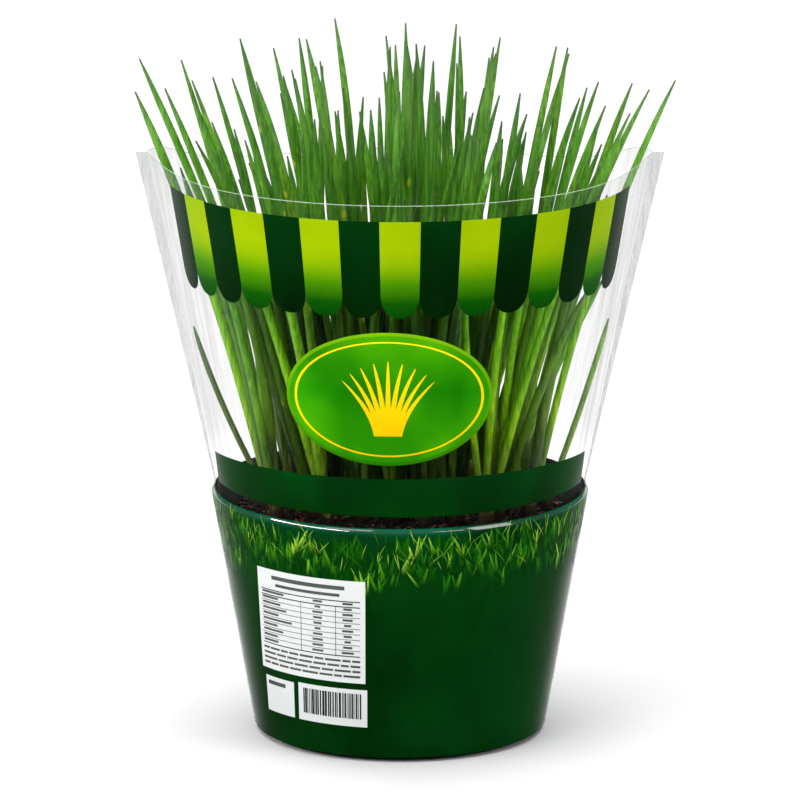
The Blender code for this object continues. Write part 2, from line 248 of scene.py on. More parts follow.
def end_tree(given, geometry, smooth=True):
    """Ends a tree with real faces, smooth shading between sharp edges, and the material."""
    tree = geometry.tree
    real = put(tree, "GeometryNodeRealizeInstances", {"Geometry": geometry})
    shaded = put(tree, "GeometryNodeSetShadeSmooth", {"Geometry": real, "Shade Smooth": smooth})
    angle = put(tree, "GeometryNodeInputMeshEdgeAngle")["Unsigned Angle"]
    sharp = work("GREATER_THAN", angle, SHARP_ANGLE)
    inputs = {"Geometry": shaded, "Selection": sharp, "Shade Smooth": False}
    creased = put(tree, "GeometryNodeSetShadeSmooth", inputs, domain="EDGE")
    painted = put(tree, "GeometryNodeSetMaterial", {"Geometry": creased, "Material": given["Material"]})
    put(tree, "NodeGroupOutput", {0: painted})
    return tree


def carried(tree, *names, kind="FLOAT"):
    """What each point carries under these names."""
    return [put(tree, "GeometryNodeInputNamedAttribute", {"Name": name}, data_type=kind) for name in names]


def keep(geometry, name, value, domain="POINT"):
    """Stores a number under a name that materials can read."""
    inputs = {"Geometry": geometry, "Name": name, "Value": value}
    return put(geometry.tree, "GeometryNodeStoreNamedAttribute", inputs, data_type="FLOAT", domain=domain)


def copied(points, shape):
    """Real copies of a shape, one on every point."""
    copies = put(points.tree, "GeometryNodeInstanceOnPoints", {"Points": points, "Instance": shape})
    return put(points.tree, "GeometryNodeRealizeInstances", {"Geometry": copies})


def placed(geometry, position):
    return put(geometry.tree, "GeometryNodeSetPosition", {"Geometry": geometry, "Position": position})


def add_object(name, mesh, material=None):
    """An object at the origin round a mesh or a light."""
    if material:
        mesh.materials.append(material)
    piece = bpy.data.objects.new(name, mesh)
    scene.collection.objects.link(piece)
    return piece


def mesh_of(builder, name):
    """The mesh a builder holds. The builder is let go."""
    mesh = bpy.data.meshes.new(name)
    builder.to_mesh(mesh)
    builder.free()
    return mesh


def grow(name, tree, material, start, **sizes):
    """Runs a tree on a mesh and keeps what it makes as a plain mesh object."""
    holder = add_object(name + "_start", start)
    modifier = holder.modifiers.new("Grow", "NODES")
    modifier.node_group = tree
    values = {label.replace("_", " ").capitalize(): value for label, value in sizes.items()}
    values["Material"] = material
    for item in tree.interface.items_tree:
        if item.item_type == "SOCKET" and item.in_out == "INPUT" and item.name in values:
            modifier[item.identifier] = values.pop(item.name)
    assert not values, f"{name}: the tree has no input {list(values)}"
    graph = bpy.context.evaluated_depsgraph_get()
    mesh = bpy.data.meshes.new_from_object(holder.evaluated_get(graph))
    bpy.data.objects.remove(holder)
    mesh.name = name
    return add_object(name, mesh)


def points_with(name, rows):
    """A mesh of loose points, each carrying the numbers and vectors of its row."""
    mesh = bpy.data.meshes.new(name)
    mesh.from_pydata([(0, 0, 0)] * len(rows), [], [])
    for label, value in rows[0].items():
        column = [row[label] for row in rows]
        if isinstance(value, float):
            mesh.attributes.new(label, "FLOAT", "POINT").data.foreach_set("value", column)
        else:
            flat = [number for item in column for number in item]
            mesh.attributes.new(label, "FLOAT_VECTOR", "POINT").data.foreach_set("vector", flat)
    return mesh


def finish_piece(piece, slot, *replaced):
    """Puts a piece on the one body of the object and hides the solids it stands for. Its slot is not used.
    """
    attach(piece, "root")
    if replaced:
        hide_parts(*replaced)
    return piece


# %% [markdown]
# The sleeve is a slim cone from the foot to the pot's rim, bends over the rim in a small bead, and
# flares in a wider cone to its mouth. Three straight lines give the radius at each height, and a
# smooth minimum and maximum round their corners. Its two panels meet at a point at each weld, so
# beside the welds the flare is drawn in from the round. The print has to lie on exactly the same
# surface, so the same sums are written twice: as functions here, and as nodes below.

# %% Shape of the sleeve
POT_HEIGHT = 0.094
SLEEVE_FOOT_HEIGHT = 0.0010
SLEEVE_FOOT_RADIUS = 0.0551
SLEEVE_RIM_RADIUS = 0.0720
SLEEVE_NECK_HEIGHT = 0.1000
SLEEVE_NECK_RADIUS = 0.0712
SLEEVE_MOUTH_HEIGHT = 0.2263
SLEEVE_MOUTH_RADIUS = 0.0968
SLEEVE_BACK_HEIGHT = 0.2078
BACK_CUT_POWER = 6
PANEL_PULL = 0.22
PANEL_PULL_ANGLE = math.radians(50)
BEAD_SLOPE = -0.52
BEAD_ROUNDING = 0.0010
WAVE_HEIGHT = 0.0004
WAVES_PER_METRE = 22.0


def between(low, high, share):
    return low + (high - low) * share


def on_line(height, low_height, low_value, high_height, high_value):
    """The value at a height on the straight line through two points."""
    return between(low_value, high_value, (height - low_height) / (high_height - low_height))


def sleeve_radius(height):
    """Outer radius of the film as the solid has it, with sharp corners at rim and neck."""
    if height <= POT_HEIGHT:
        return on_line(height, 0.0, SLEEVE_FOOT_RADIUS, POT_HEIGHT, SLEEVE_RIM_RADIUS)
    if height <= SLEEVE_NECK_HEIGHT:
        return on_line(height, POT_HEIGHT, SLEEVE_RIM_RADIUS, SLEEVE_NECK_HEIGHT, SLEEVE_NECK_RADIUS)
    return on_line(
        height, SLEEVE_NECK_HEIGHT, SLEEVE_NECK_RADIUS, SLEEVE_MOUTH_HEIGHT, SLEEVE_MOUTH_RADIUS
    )


def flare(height):
    """How far up the flare a height is, from 0 at the neck to 1 at the mouth."""
    return max(0.0, on_line(height, SLEEVE_NECK_HEIGHT, 0.0, SLEEVE_MOUTH_HEIGHT, 1.0))


def film_radius(height, angle):
    """Outer radius of the film, drawn in beside the welds, which stand at 0 and 180 degrees."""
    beside = min(1.0, math.asin(min(1.0, abs(math.sin(angle)))) / PANEL_PULL_ANGLE)
    pull = PANEL_PULL * beside * (1 - beside) ** 2
    return sleeve_radius(height) * (1 - pull * flare(height))


def sleeve_top(angle):
    """Height of the sleeve's cut edge: level in front, and dropping behind each weld."""
    if math.sin(angle) <= 0:
        return SLEEVE_MOUTH_HEIGHT
    return between(SLEEVE_BACK_HEIGHT, SLEEVE_MOUTH_HEIGHT, abs(math.cos(angle)) ** BACK_CUT_POWER)


LOWER_SLOPE = (SLEEVE_RIM_RADIUS - SLEEVE_FOOT_RADIUS) / POT_HEIGHT
UPPER_SLOPE = (SLEEVE_MOUTH_RADIUS - SLEEVE_NECK_RADIUS) / (SLEEVE_MOUTH_HEIGHT - SLEEVE_NECK_HEIGHT)
FILM_LINES = (
    (LOWER_SLOPE, SLEEVE_FOOT_RADIUS),
    (BEAD_SLOPE, SLEEVE_RIM_RADIUS - BEAD_SLOPE * POT_HEIGHT),
    (UPPER_SLOPE, SLEEVE_NECK_RADIUS - UPPER_SLOPE * SLEEVE_NECK_HEIGHT),
)


def smooth_least(first, second, distance):
    """The lesser of two numbers, eased where they are nearly equal, as Blender's node does it."""
    near = max(distance - abs(first - second), 0) / distance
    return min(first, second) - near**3 * distance / 6


def beaded_radius(height):
    """Outer radius of the film with its bead over the rim, at a weld or at the front."""
    lower, bead, upper = (start + slope * height for slope, start in FILM_LINES)
    return -smooth_least(-smooth_least(lower, bead, BEAD_ROUNDING), -upper, BEAD_ROUNDING)


pot_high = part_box("nursery_pot")[1]
sleeve_low, sleeve_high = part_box("printed_sleeve")
for label, solid, here in (
    ("rim height", pot_high.z, POT_HEIGHT),
    ("mouth radius", -sleeve_low.y, SLEEVE_MOUTH_RADIUS),
    ("mouth height", sleeve_high.z, SLEEVE_MOUTH_HEIGHT),
):
    print(label, "off by", round(1000 * (solid - here), 3), "mm")

# %% [markdown]
# Everything on the sleeve is first laid out flat, with its angle or its arc length to the right,
# its height upwards and its thickness towards the reader. This tree rolls the flat layout round
# the sleeve. A slow noise adds the faint waves of real film, to film and print alike.

# %% The rolling tree
SEAM_AT_BACK = math.pi - 0.0003
SAME_PLACE = 1e-6
ROLL_SIZES = {"By arc": 0, "Lift": 0.0, "Thickness": 0.0001}


def rolled(geometry, by_arc, lift):
    """Bends a flat layout round the sleeve."""
    tree = geometry.tree
    flat = parts_of(put(tree, "GeometryNodeInputPosition"))
    height = flat["Y"]
    lower, bead, upper = (work("MULTIPLY_ADD", height, *line) for line in FILM_LINES)
    round_rim = work("SMOOTH_MIN", lower, bead, BEAD_ROUNDING)
    radius = work("SMOOTH_MAX", round_rim, upper, BEAD_ROUNDING)
    inputs = {"Switch": by_arc, "False": flat["X"], "True": flat["X"] / radius}
    angle = put(tree, "GeometryNodeSwitch", inputs, input_type="FLOAT")
    ahead = work("COSINE", angle) * -1.0
    outward = vector(tree, X=work("SINE", angle), Y=ahead)
    from_weld = work("ARCSINE", work("ABSOLUTE", ahead))
    beside = work("DIVIDE", from_weld, PANEL_PULL_ANGLE, clamp=True)
    pull = beside * (1.0 - beside) ** 2.0 * PANEL_PULL
    flared = work("MAXIMUM", spread(height, SLEEVE_NECK_HEIGHT, SLEEVE_MOUTH_HEIGHT), 0.0)
    on_film = outward * (radius * (1.0 - pull * flared)) + vector(tree, Z=height)
    waves = put(tree, "ShaderNodeTexNoise", {"Vector": on_film, "Scale": WAVES_PER_METRE, "Detail": 1.0})
    reach = flat["Z"] + lift + (waves - 0.5) * WAVE_HEIGHT
    return placed(geometry, on_film + outward * reach)


def thickened(geometry, thickness):
    """Gives a flat layout a top and sides. A ring that meets itself at the back gets no wall there."""
    tree = geometry.tree
    up = vector(tree, Z=1.0)
    inputs = {"Mesh": geometry, "Offset": up, "Offset Scale": thickness, "Individual": False}
    joined = put(tree, "GeometryNodeJoinGeometry")
    feed(joined, {0: put(tree, "GeometryNodeExtrudeMesh", inputs)})
    feed(joined, {0: put(tree, "GeometryNodeFlipFaces", {"Mesh": geometry})})
    merged = put(tree, "GeometryNodeMergeByDistance", {"Geometry": joined, "Distance": SAME_PLACE})
    aside = work("ABSOLUTE", parts_of(put(tree, "GeometryNodeInputPosition"))["X"])
    inputs = {"Geometry": merged, "Selection": work("GREATER_THAN", aside, SEAM_AT_BACK)}
    return put(tree, "GeometryNodeDeleteGeometry", inputs, domain="FACE")


def finish_roll(given, flat):
    """Thickens and rolls a flat layout, closes the seam at the back and ends the tree."""
    bent = rolled(thickened(flat, given["Thickness"]), given["By arc"], given["Lift"])
    closed = put(bent.tree, "GeometryNodeMergeByDistance", {"Geometry": bent, "Distance": SAME_PLACE})
    return end_tree(given, closed)


def make_roll_tree():
    """Rolls a flat mesh that is given as it is."""
    tree, given = geometry_tree("Rolled layout", ROLL_SIZES)
    return finish_roll(given, given["Geometry"])


def flat_grid(name, across, up, place):
    """A flat mesh of rows and columns, whose corners a function places from two shares."""
    columns = len(across)
    corners = [(*place(u, v), 0.0) for v in up for u in across]
    faces = [
        (r * columns + c, r * columns + c + 1, (r + 1) * columns + c + 1, (r + 1) * columns + c)
        for r in range(len(up) - 1)
        for c in range(columns - 1)
    ]
    mesh = bpy.data.meshes.new(name)
    mesh.from_pydata(corners, [], faces)
    return mesh


def steps(first, last, count):
    """Evenly spaced numbers from first to last."""
    return [between(first, last, k / (count - 1)) for k in range(count)]


roll_tree = make_roll_tree()
print("radius over the rim", [round(1000 * beaded_radius(POT_HEIGHT + k * 0.001), 2) for k in range(-1, 6)])

# %% [markdown]
# Finishes come next. Several share one effect: a fine variation that keeps a surface from looking
# like one flat colour. It is a group with its own inputs, built once, and each material sets its
# scale and stretch. The group only gives values, and every shader stays in its own material.

# %% Shared shader group
def make_variation_group():
    """Noise on the object's own coordinates, from 0 to 1, stretched along each axis."""
    group = bpy.data.node_groups.new("Fine variation", "ShaderNodeTree")
    group.interface.new_socket("Value", in_out="OUTPUT", socket_type="NodeSocketFloat")
    given = add_inputs(group, {"Scale": 100.0, "Stretch": (1.0, 1.0, 1.0), "Low": 0.35, "High": 0.65})
    pulled = put(group, "ShaderNodeTexCoord")["Object"] * given["Stretch"]
    inputs = {"Vector": pulled, "Scale": given["Scale"], "Detail": 3.0}
    grain = put(group, "ShaderNodeTexNoise", inputs)
    put(group, "NodeGroupOutput", {"Value": spread(grain, given["Low"], given["High"])})
    return group


variation_group = make_variation_group()


def variation(tree, scale, stretch=(1, 1, 1), low=0.35, high=0.65):
    """The shared variation, placed in a material."""
    inputs = {"Scale": scale, "Stretch": stretch, "Low": low, "High": high}
    return put(tree, "ShaderNodeGroup", inputs, node_tree=variation_group)


def new_material(name, roughness, specular):
    """A material, its tree and its Principled shader, whose plain values are set here."""
    material = bpy.data.materials.new(name)
    material.use_nodes = True
    tree = material.node_tree
    shader = Made(tree, tree.nodes["Principled BSDF"])
    return material, tree, feed(shader, {"Roughness": roughness, "Specular IOR Level": specular})


def blend(factor, first, second, kind="MIX"):
    """One colour going over to another by a share."""
    tree = next(value.tree for value in (factor, first) if isinstance(value, Made))
    inputs = {"Factor": factor, "A": first, "B": second}
    return put(tree, "ShaderNodeMix", inputs, data_type="RGBA", blend_type=kind)


def dyed(share, colour, dye):
    """A colour multiplied by a dye, as far as a share says."""
    return blend(share, colour, dye, "MULTIPLY")


def ramp(factor, stops):
    """Colours along a value, each stop a place and a colour."""
    made = put(factor.tree, "ShaderNodeValToRGB", {"Fac": factor})
    elements = made.node.color_ramp.elements
    for index, (place, colour) in enumerate(stops):
        element = elements[index] if index < 2 else elements.new(place)
        element.position = place
        element.color = colour
    return made


def mark(tree, name):
    """The number that a tree has left on the mesh under a name."""
    return put(tree, "ShaderNodeAttribute", attribute_name=name)["Fac"]


def height_in(tree):
    """Height above the surface the pot stands on, from the object's own coordinates."""
    return parts_of(put(tree, "ShaderNodeTexCoord")["Object"])["Z"]


def turned_away(tree):
    """0 where a surface is seen square on, and 1 where it is seen along its face."""
    return put(tree, "ShaderNodeLayerWeight", {"Blend": 0.5})["Facing"]


def bump(shader, height, strength, distance):
    """Feeds a height to the shader's normal."""
    inputs = {"Strength": strength, "Distance": distance, "Height": height}
    feed(shader, {"Normal": put(shader.tree, "ShaderNodeBump", inputs)})


# %% [markdown]
# A chive leaf is a hollow green tube, about 4 mm thick, that runs nearly straight up and narrows to
# a dry point. Its green is yellower at the foot and bluer above, with fine streaks and now and then a
# yellow fleck. Painted shade darkens its sides where they turn from view, and its foot in the heart of
# the bunch. The leaf tree leaves three numbers on the mesh for this: along, tone and shade.

# %% Leaf finish
def make_leaf_material():
    material, tree, shader = new_material("chive_leaf", 0.42, 0.16)
    height = height_in(tree)
    along = mark(tree, "along")
    tone = mark(tree, "tone")
    greens = ramp(spread(height, 0.088, 0.262), (
        (0.00, ink(196, 200, 120)), (0.06, ink(170, 194, 74)), (0.20, ink(180, 236, 12)),
        (0.45, ink(146, 220, 12)), (0.72, ink(122, 194, 54)), (1.00, ink(136, 190, 86)),
    ))
    bluer = blend(spread(tone, 0.45, 1.0, 0.0, 0.55), greens, ink(78, 142, 50))
    yellower = blend(spread(tone, 0.30, 0.0, 0.0, 0.50), bluer, ink(142, 188, 36))
    streaks = variation(tree, 900.0, (1, 1, 0.04), 0.30, 0.70)
    streaked = dyed(1.0 - streaks, yellower, ink(158, 184, 140))
    clouded = dyed(1.0 - variation(tree, 60.0, (1, 1, 0.4)), streaked, ink(206, 222, 200))
    # Painted shade: low down, leaves marked with shade take a deep green, for the shadow inside the bunch.
    low_down = spread(height, 0.160, 0.215, 1.0, 0.0, smooth=True)
    inner = dyed(mark(tree, "shade") * low_down, clouded, ink(40, 64, 16))
    # Painted shade: each leaf's sides darken where they turn from view, so that it looks round.
    sides = spread(turned_away(tree), 0.30, 0.95, 0.0, 0.85, smooth=True)
    deep = dyed(sides, inner, ink(120, 150, 104))
    drawn = put(tree, "ShaderNodeTexCoord")["Object"] * (1.0, 1.0, 0.6)
    cells = put(tree, "ShaderNodeTexVoronoi", {"Vector": drawn, "Scale": 75.0})["Distance"]
    flecked = blend(spread(cells, 0.035, 0.10, 0.8, 0.0), deep, ink(196, 206, 50))
    darker_tip = blend(spread(along, 0.90, 0.985, 0.0, 0.55), flecked, ink(66, 100, 62))
    dry_tip = blend(spread(along, 0.984, 1.0), darker_tip, ink(92, 92, 78))
    feed(shader, {"Base Color": dry_tip, "Roughness": spread(streaks, 0, 1, 0.50, 0.36)})
    bump(shader, streaks, 0.25, 0.0002)
    return material


leaf_material = make_leaf_material()
print("leaf finish with", len(leaf_material.node_tree.nodes), "nodes")

# %% [markdown]
# The solids' leaves follow a seeded rule: clumps are set out over the soil, and each draws leaves
# that fan out of the pot and keep clear of the others. The same rule is repeated here, with the
# same random draws, so each fine leaf grows on exactly the path of its solid.

# %% The rule that sets out the leaves
SLEEVE_ROOM = 0.0015
MOUTH_ROOM = 0.006
GAP = 0.0003
CLUMP_COUNT = 37
CLUMP_SPACING = 0.0136
SPACING_EASE = 0.004
BED_RADIUS = 0.0535
BED_FRONT = 0.0300
LEAVES_PER_CLUMP = (4, 5, 5, 6)
LEAF_ROOT = 0.0885
LEAF_OFFSET = 0.0008
LEAF_RADIUS = (0.0015, 0.0023)
LEAF_TIP_RADIUS = 0.0003
LEAF_FOOT_SHARE = 0.76
LEAF_FOOT_GROWTH = 1.5
LEAF_SLIMMING = 0.14
TAPER_START = 0.50
TAPER_POWER = 7.0
TIP_HEIGHT = (0.212, 0.271)
TIP_POWER = 0.72
TIP_DROP = 0.017
FAN_LEAN = 0.20
FAN_CURL = 0.11
CURL_POWER = 2.4
SPREAD = 0.045
WANDER = 0.070
SWAY_SHARE = 0.6
TURN_WANDER = 0.5
SPLIT_HEIGHT = 0.122
CHECK_LEVELS = [0.090 + 0.004 * step for step in range(47)]
SLANT = 0.93
MOST_TRIES = 260
SHORT_LEAF = (0.5, 0.9)
SEED = 75
SIDE_SHOOTS = (
    {"side": -1, "foot": 0.0495, "reach": 0.0790, "bow": 0.0066, "height": 0.158},
    {"side": 1, "foot": 0.0560, "reach": 0.0798, "bow": 0.0029, "height": 0.161},
)
SHOOT_RADIUS = 0.0013


def clump_middles(draw, placed_before):
    """Places on the soil, kept apart from each other and from those already placed."""
    middles = []
    while len(middles) < CLUMP_COUNT:
        turn = draw.uniform(0, math.tau)
        reach = BED_RADIUS * math.sqrt(draw.random())
        place = Vector((reach * math.cos(turn), reach * math.sin(turn)))
        spacing = CLUMP_SPACING * (1 - SPACING_EASE * len(middles))
        clear = all((place - other).length > spacing for other in placed_before + middles)
        if clear and place.y > -BED_FRONT:
            middles.append(place)
    return middles


def leaf_middle(leaf, share):
    """A point on a leaf's middle line, from its root at 0 to its tip at 1."""
    reach = leaf["lean"] * share + leaf["curl"] * share**CURL_POWER
    flat = leaf["root"] + reach * leaf["rise"]
    return Vector((flat.x, flat.y, LEAF_ROOT + leaf["rise"] * share))


def leaf_radius(leaf, share):
    """A narrow foot in the sheath, full by a fifth of the height, tapering from past the middle."""
    foot = min(1.0, LEAF_FOOT_SHARE + LEAF_FOOT_GROWTH * share)
    tapered = max(0.0, on_line(share, TAPER_START, 0.0, 1.0, 1.0)) ** TAPER_POWER
    taper = 1 - LEAF_SLIMMING * share - (1 - LEAF_SLIMMING) * tapered
    return max(LEAF_TIP_RADIUS, leaf["radius"] * foot * taper)


def leaf_levels(leaf):
    """Places and radii of a leaf at the levels where leaves are kept clear."""
    shares = [(height - LEAF_ROOT) / leaf["rise"] for height in CHECK_LEVELS]
    return [(leaf_middle(leaf, share), leaf_radius(leaf, share)) for share in shares if share <= 1]


def fits_sleeve(levels):
    for middle, radius in levels:
        angle = math.atan2(middle.y, middle.x)
        if middle.z > sleeve_top(angle) + MOUTH_ROOM:
            break
        if middle.xy.length + radius > film_radius(middle.z, angle) - SLEEVE_ROOM:
            return False
    return True


def clear_of(levels, others, start):
    """Whether a leaf clears others at every level above a height, for the slant of both."""
    for other in others:
        for (middle, radius), (near, near_radius) in zip(levels, other):
            if middle.z < start:
                continue
            if (middle - near).length * SLANT < radius + near_radius + GAP:
                return False
    return True


def draw_leaf(draw, middle, turn):
    """One leaf from a clump: it fans with its place in the pot and wanders a little."""
    out = middle / BED_RADIUS
    away = Vector((math.cos(turn), math.sin(turn)))
    stray = Vector((draw.gauss(0, WANDER), draw.gauss(0, WANDER)))
    sway = Vector((draw.gauss(0, WANDER * SWAY_SHARE), draw.gauss(0, WANDER * SWAY_SHARE)))
    tip = between(*TIP_HEIGHT, draw.random() ** TIP_POWER) - TIP_DROP * out.length_squared
    return {
        "root": middle + away * LEAF_OFFSET,
        "lean": out * FAN_LEAN + away * SPREAD + stray,
        "curl": out * FAN_CURL + sway,
        "rise": tip - LEAF_ROOT,
        "radius": between(*LEAF_RADIUS, draw.random()),
    }


def side_shoot(shoot):
    """The clump of one short leaf at a side of the pot, which leans out and bows back up."""
    side = shoot["side"]
    middle = Vector((side * shoot["foot"], 0.0))
    rise = shoot["height"] - LEAF_ROOT
    leaf = {
        "root": middle,
        "lean": Vector((side * (shoot["reach"] - shoot["foot"] + shoot["bow"]) / rise, 0.0)),
        "curl": Vector((-side * shoot["bow"] / rise, 0.0)),
        "rise": rise,
        "radius": SHOOT_RADIUS,
    }
    return {"middle": middle, "leaves": [leaf]}


def plan_clumps():
    draw = random.Random(SEED)
    clumps = [side_shoot(shoot) for shoot in SIDE_SHOOTS]
    taken = [leaf_levels(leaf) for clump in clumps for leaf in clump["leaves"]]
    for middle in clump_middles(draw, [clump["middle"] for clump in clumps]):
        leaves = []
        own = []
        count = draw.choice(LEAVES_PER_CLUMP)
        first = draw.uniform(0, math.tau)
        for k in range(count):
            for attempt in range(MOST_TRIES):
                stray = draw.uniform(-TURN_WANDER, TURN_WANDER)
                leaf = draw_leaf(draw, middle, first + math.tau * k / count + stray)
                if attempt > MOST_TRIES / 2:
                    leaf["rise"] *= draw.uniform(*SHORT_LEAF)
                levels = leaf_levels(leaf)
                clear = clear_of(levels, own, SPLIT_HEIGHT) and clear_of(levels, taken, 0.0)
                if clear and fits_sleeve(levels):
                    leaves.append(leaf)
                    own.append(levels)
                    break
        taken.extend(own)
        clumps.append({"middle": middle, "leaves": leaves})
    return clumps


clumps = plan_clumps()
print(len(clumps), "clumps with", sum(len(clump["leaves"]) for clump in clumps), "leaves")

# %% [markdown]
# One tree grows all the leaves of a clump. Each starts as a point that carries its root, lean,
# curl, rise, girth, tone and shade. The tree gives every point a line of small steps, bends the
# line by the rule, and sweeps a circle along it whose size follows the leaf's taper.

# %% The leaf tree
LEAF_STEPS = 30
TIP_CROWDING = 1.7
ROUNDED = 0.935
TIP_SHARE = 0.6
TIP_EASE = 0.0012
LEAF_SIDES = 12


def make_leaf_tree():
    tree, given = geometry_tree("Chive leaves", {"Steps": LEAF_STEPS, "Sides": LEAF_SIDES})
    line = put(tree, "GeometryNodeCurvePrimitiveLine", {"Start": (0, 0, 0), "End": (0, 0, 1)})
    stepped = put(tree, "GeometryNodeResampleCurve", {"Curve": line, "Count": given["Steps"]})
    factor = put(tree, "GeometryNodeSplineParameter")["Factor"]
    marked = keep(stepped, "along", 1.0 - (1.0 - factor) ** TIP_CROWDING)
    lines = copied(given["Geometry"], marked)
    share, rise, girth = carried(tree, "along", "rise", "girth")
    root, lean, curl = carried(tree, "root", "lean", "curl", kind="FLOAT_VECTOR")
    reach = (lean * share + curl * share**CURL_POWER) * rise
    climb = work("MULTIPLY_ADD", rise, share, LEAF_ROOT)
    bent = placed(lines, root + reach + vector(tree, Z=climb))
    foot = work("MINIMUM", work("MULTIPLY_ADD", share, LEAF_FOOT_GROWTH, LEAF_FOOT_SHARE), 1.0)
    tapered = spread(share, TAPER_START, 1.0) ** TAPER_POWER * (1 - LEAF_SLIMMING)
    wide = girth * foot * (1.0 - share * LEAF_SLIMMING - tapered)
    radius = work("SMOOTH_MAX", wide * ROUNDED, LEAF_TIP_RADIUS * TIP_SHARE, TIP_EASE)
    circle = put(tree, "GeometryNodeCurvePrimitiveCircle", {"Resolution": given["Sides"], "Radius": 1.0})
    inputs = {"Curve": bent, "Profile Curve": circle, "Scale": radius, "Fill Caps": True}
    return end_tree(given, put(tree, "GeometryNodeCurveToMesh", inputs))


leaf_tree = make_leaf_tree()
print("leaf tree with", len(leaf_tree.nodes), "nodes")

# %% [markdown]
# At its foot each clump is wrapped in the dry, pale skins of its oldest leaves. The skin stands in
# the hole of the soil and closes round the leaves a little above it. It is turned like a vase,
# with a frayed, wavy top, and belongs to the same piece as the leaves it holds.

# %% Sheaths and clumps
SHEATH_RADIUS = 0.0031
SHEATH_FOOT = 0.074
SHEATH_TOP = 0.103
SHEATH_SIDES = 14
SHEATH_FRAY = 0.16
SHEATH_PROFILE = ((0.0, 0.96), (0.35, 1.0), (0.55, 0.97), (0.72, 0.90), (0.88, 0.74), (1.0, 0.52))
INNER_REACH = 0.038


def make_sheath_material():
    material, tree, shader = new_material("pale_sheath", 0.6, 0.3)
    pale = ramp(spread(height_in(tree), 0.086, 0.104), (
        (0.0, ink(22, 14, 9)), (0.28, ink(74, 58, 34)), (0.55, ink(134, 140, 66)), (1.0, ink(146, 182, 62)),
    ))
    streaks = variation(tree, 1400.0, (1, 1, 0.05), 0.3, 0.7)
    feed(shader, {"Base Color": dyed(1.0 - streaks, pale, ink(188, 158, 120))})
    bump(shader, streaks, 0.5, 0.0003)
    return material


def circle_place(radius, turn, height):
    return Vector((radius * math.cos(turn), radius * math.sin(turn), height))


def strip(builder, lower, upper):
    """Faces between two rings, of which one may be a single point on the axis."""
    count = max(len(lower), len(upper))
    lower = lower * (count // len(lower))
    upper = upper * (count // len(upper))
    for k in range(count):
        after = (k + 1) % count
        corners = dict.fromkeys((lower[k], lower[after], upper[after], upper[k]))
        builder.faces.new(tuple(corners))


def turned(profile, sides, fray=0.0):
    """A closed body turned round Z from a profile of radius and height that starts on the axis."""
    builder = bmesh.new()
    rings = []
    for radius, height in profile:
        ring = []
        for k in range(sides if radius else 1):
            turn = math.tau * k / sides
            wave = 1 + fray * noise.noise(Vector((3 * math.cos(turn), 3 * math.sin(turn), height * 90)))
            ring.append(builder.verts.new(circle_place(radius * wave, turn, height)))
        rings.append(ring)
    for lower, upper in zip(rings, rings[1:]):
        strip(builder, lower, upper)
    return builder


def add_sheath(piece, middle, material):
    """Adds a sheath round a clump's foot to its mesh, as a second material."""
    sides = [(SHEATH_RADIUS * wide, between(SHEATH_FOOT, SHEATH_TOP, up)) for up, wide in SHEATH_PROFILE]
    skin = turned([(0, SHEATH_FOOT), *sides, (0, SHEATH_TOP)], SHEATH_SIDES, SHEATH_FRAY)
    bmesh.ops.translate(skin, verts=skin.verts, vec=(*middle, 0))
    for face in skin.faces:
        face.material_index = 1
        face.smooth = True
    mesh = piece.data
    mesh.materials.append(material)
    skin.from_mesh(mesh)
    skin.to_mesh(mesh)
    skin.free()


def painted_inner_shade(middle):
    """How much painted shade a leaf gets low down, for the shadow of the bunch: inner clumps, and a few
    outer ones.
    """
    if middle.length < INNER_REACH:
        return tones.uniform(0.6, 1.0)
    return tones.uniform(0.4, 0.8) if tones.random() < 0.3 else 0.0


sheath_material = make_sheath_material()
tones = random.Random(7)
most_off = 0.0
for number, clump in enumerate(clumps, 1):
    rows = [
        {
            "root": (*leaf["root"], 0.0),
            "lean": (*leaf["lean"], 0.0),
            "curl": (*leaf["curl"], 0.0),
            "rise": leaf["rise"],
            "girth": leaf["radius"],
            "tone": tones.random(),
            "shade": painted_inner_shade(clump["middle"]),
        }
        for leaf in clump["leaves"]
    ]
    node = f"chive_clump_{number:02d}"
    piece = grow(f"chives_{number:02d}", leaf_tree, leaf_material, points_with("leaf_rows", rows))
    solid_low, solid_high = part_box(node)
    reach = [vertex.co for vertex in piece.data.vertices]
    off = [abs(max(p[axis] for p in reach) - solid_high[axis]) for axis in range(3)]
    off += [abs(min(p[axis] for p in reach) - solid_low[axis]) for axis in range(2)]
    most_off = max(most_off, *off)
    add_sheath(piece, clump["middle"], sheath_material)
    finish_piece(piece, "chive_leaf", node)
print("a clump is off its solid by", round(1000 * most_off, 2), "mm at most")

# %% [markdown]
# The soil is dark, damp potting mix. Its lumps are the same noise as in the solid, with finer
# grains on top, and its edge ends just inside the pot.

# %% Soil
SOIL_HEIGHT = 0.0868
SOIL_LUMP = 0.0016
LUMPS_PER_METRE = 95.0
LUMP_PLACE = Vector((3.1, 7.7, 0.4))
CRUMBS_PER_METRE = 260.0
CRUMB_PLACE = Vector((9.2, 1.3, 5.8))
CRUMB_SHARE = 0.45
SOIL_DROOP = 0.0012
GRAIN_HEIGHT = 0.0009
GRAINS_PER_METRE = 700.0
SOIL_FOOT_SHARE = 0.79
SOIL_SIDES = 150
SOIL_RINGS = 44
soil_low, soil_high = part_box("potting_soil")
SOIL_RADIUS = soil_high.x


def soil_surface(x, y):
    """Height of the lumpy soil, a little lower towards the pot's wall."""
    place = Vector((x, y, 0.0))
    lump = noise.noise(place * LUMPS_PER_METRE + LUMP_PLACE)
    crumb = noise.noise(place * CRUMBS_PER_METRE + CRUMB_PLACE)
    droop = SOIL_DROOP * (place.length / BED_RADIUS) ** 4
    return SOIL_HEIGHT + SOIL_LUMP * (lump + CRUMB_SHARE * crumb) - droop


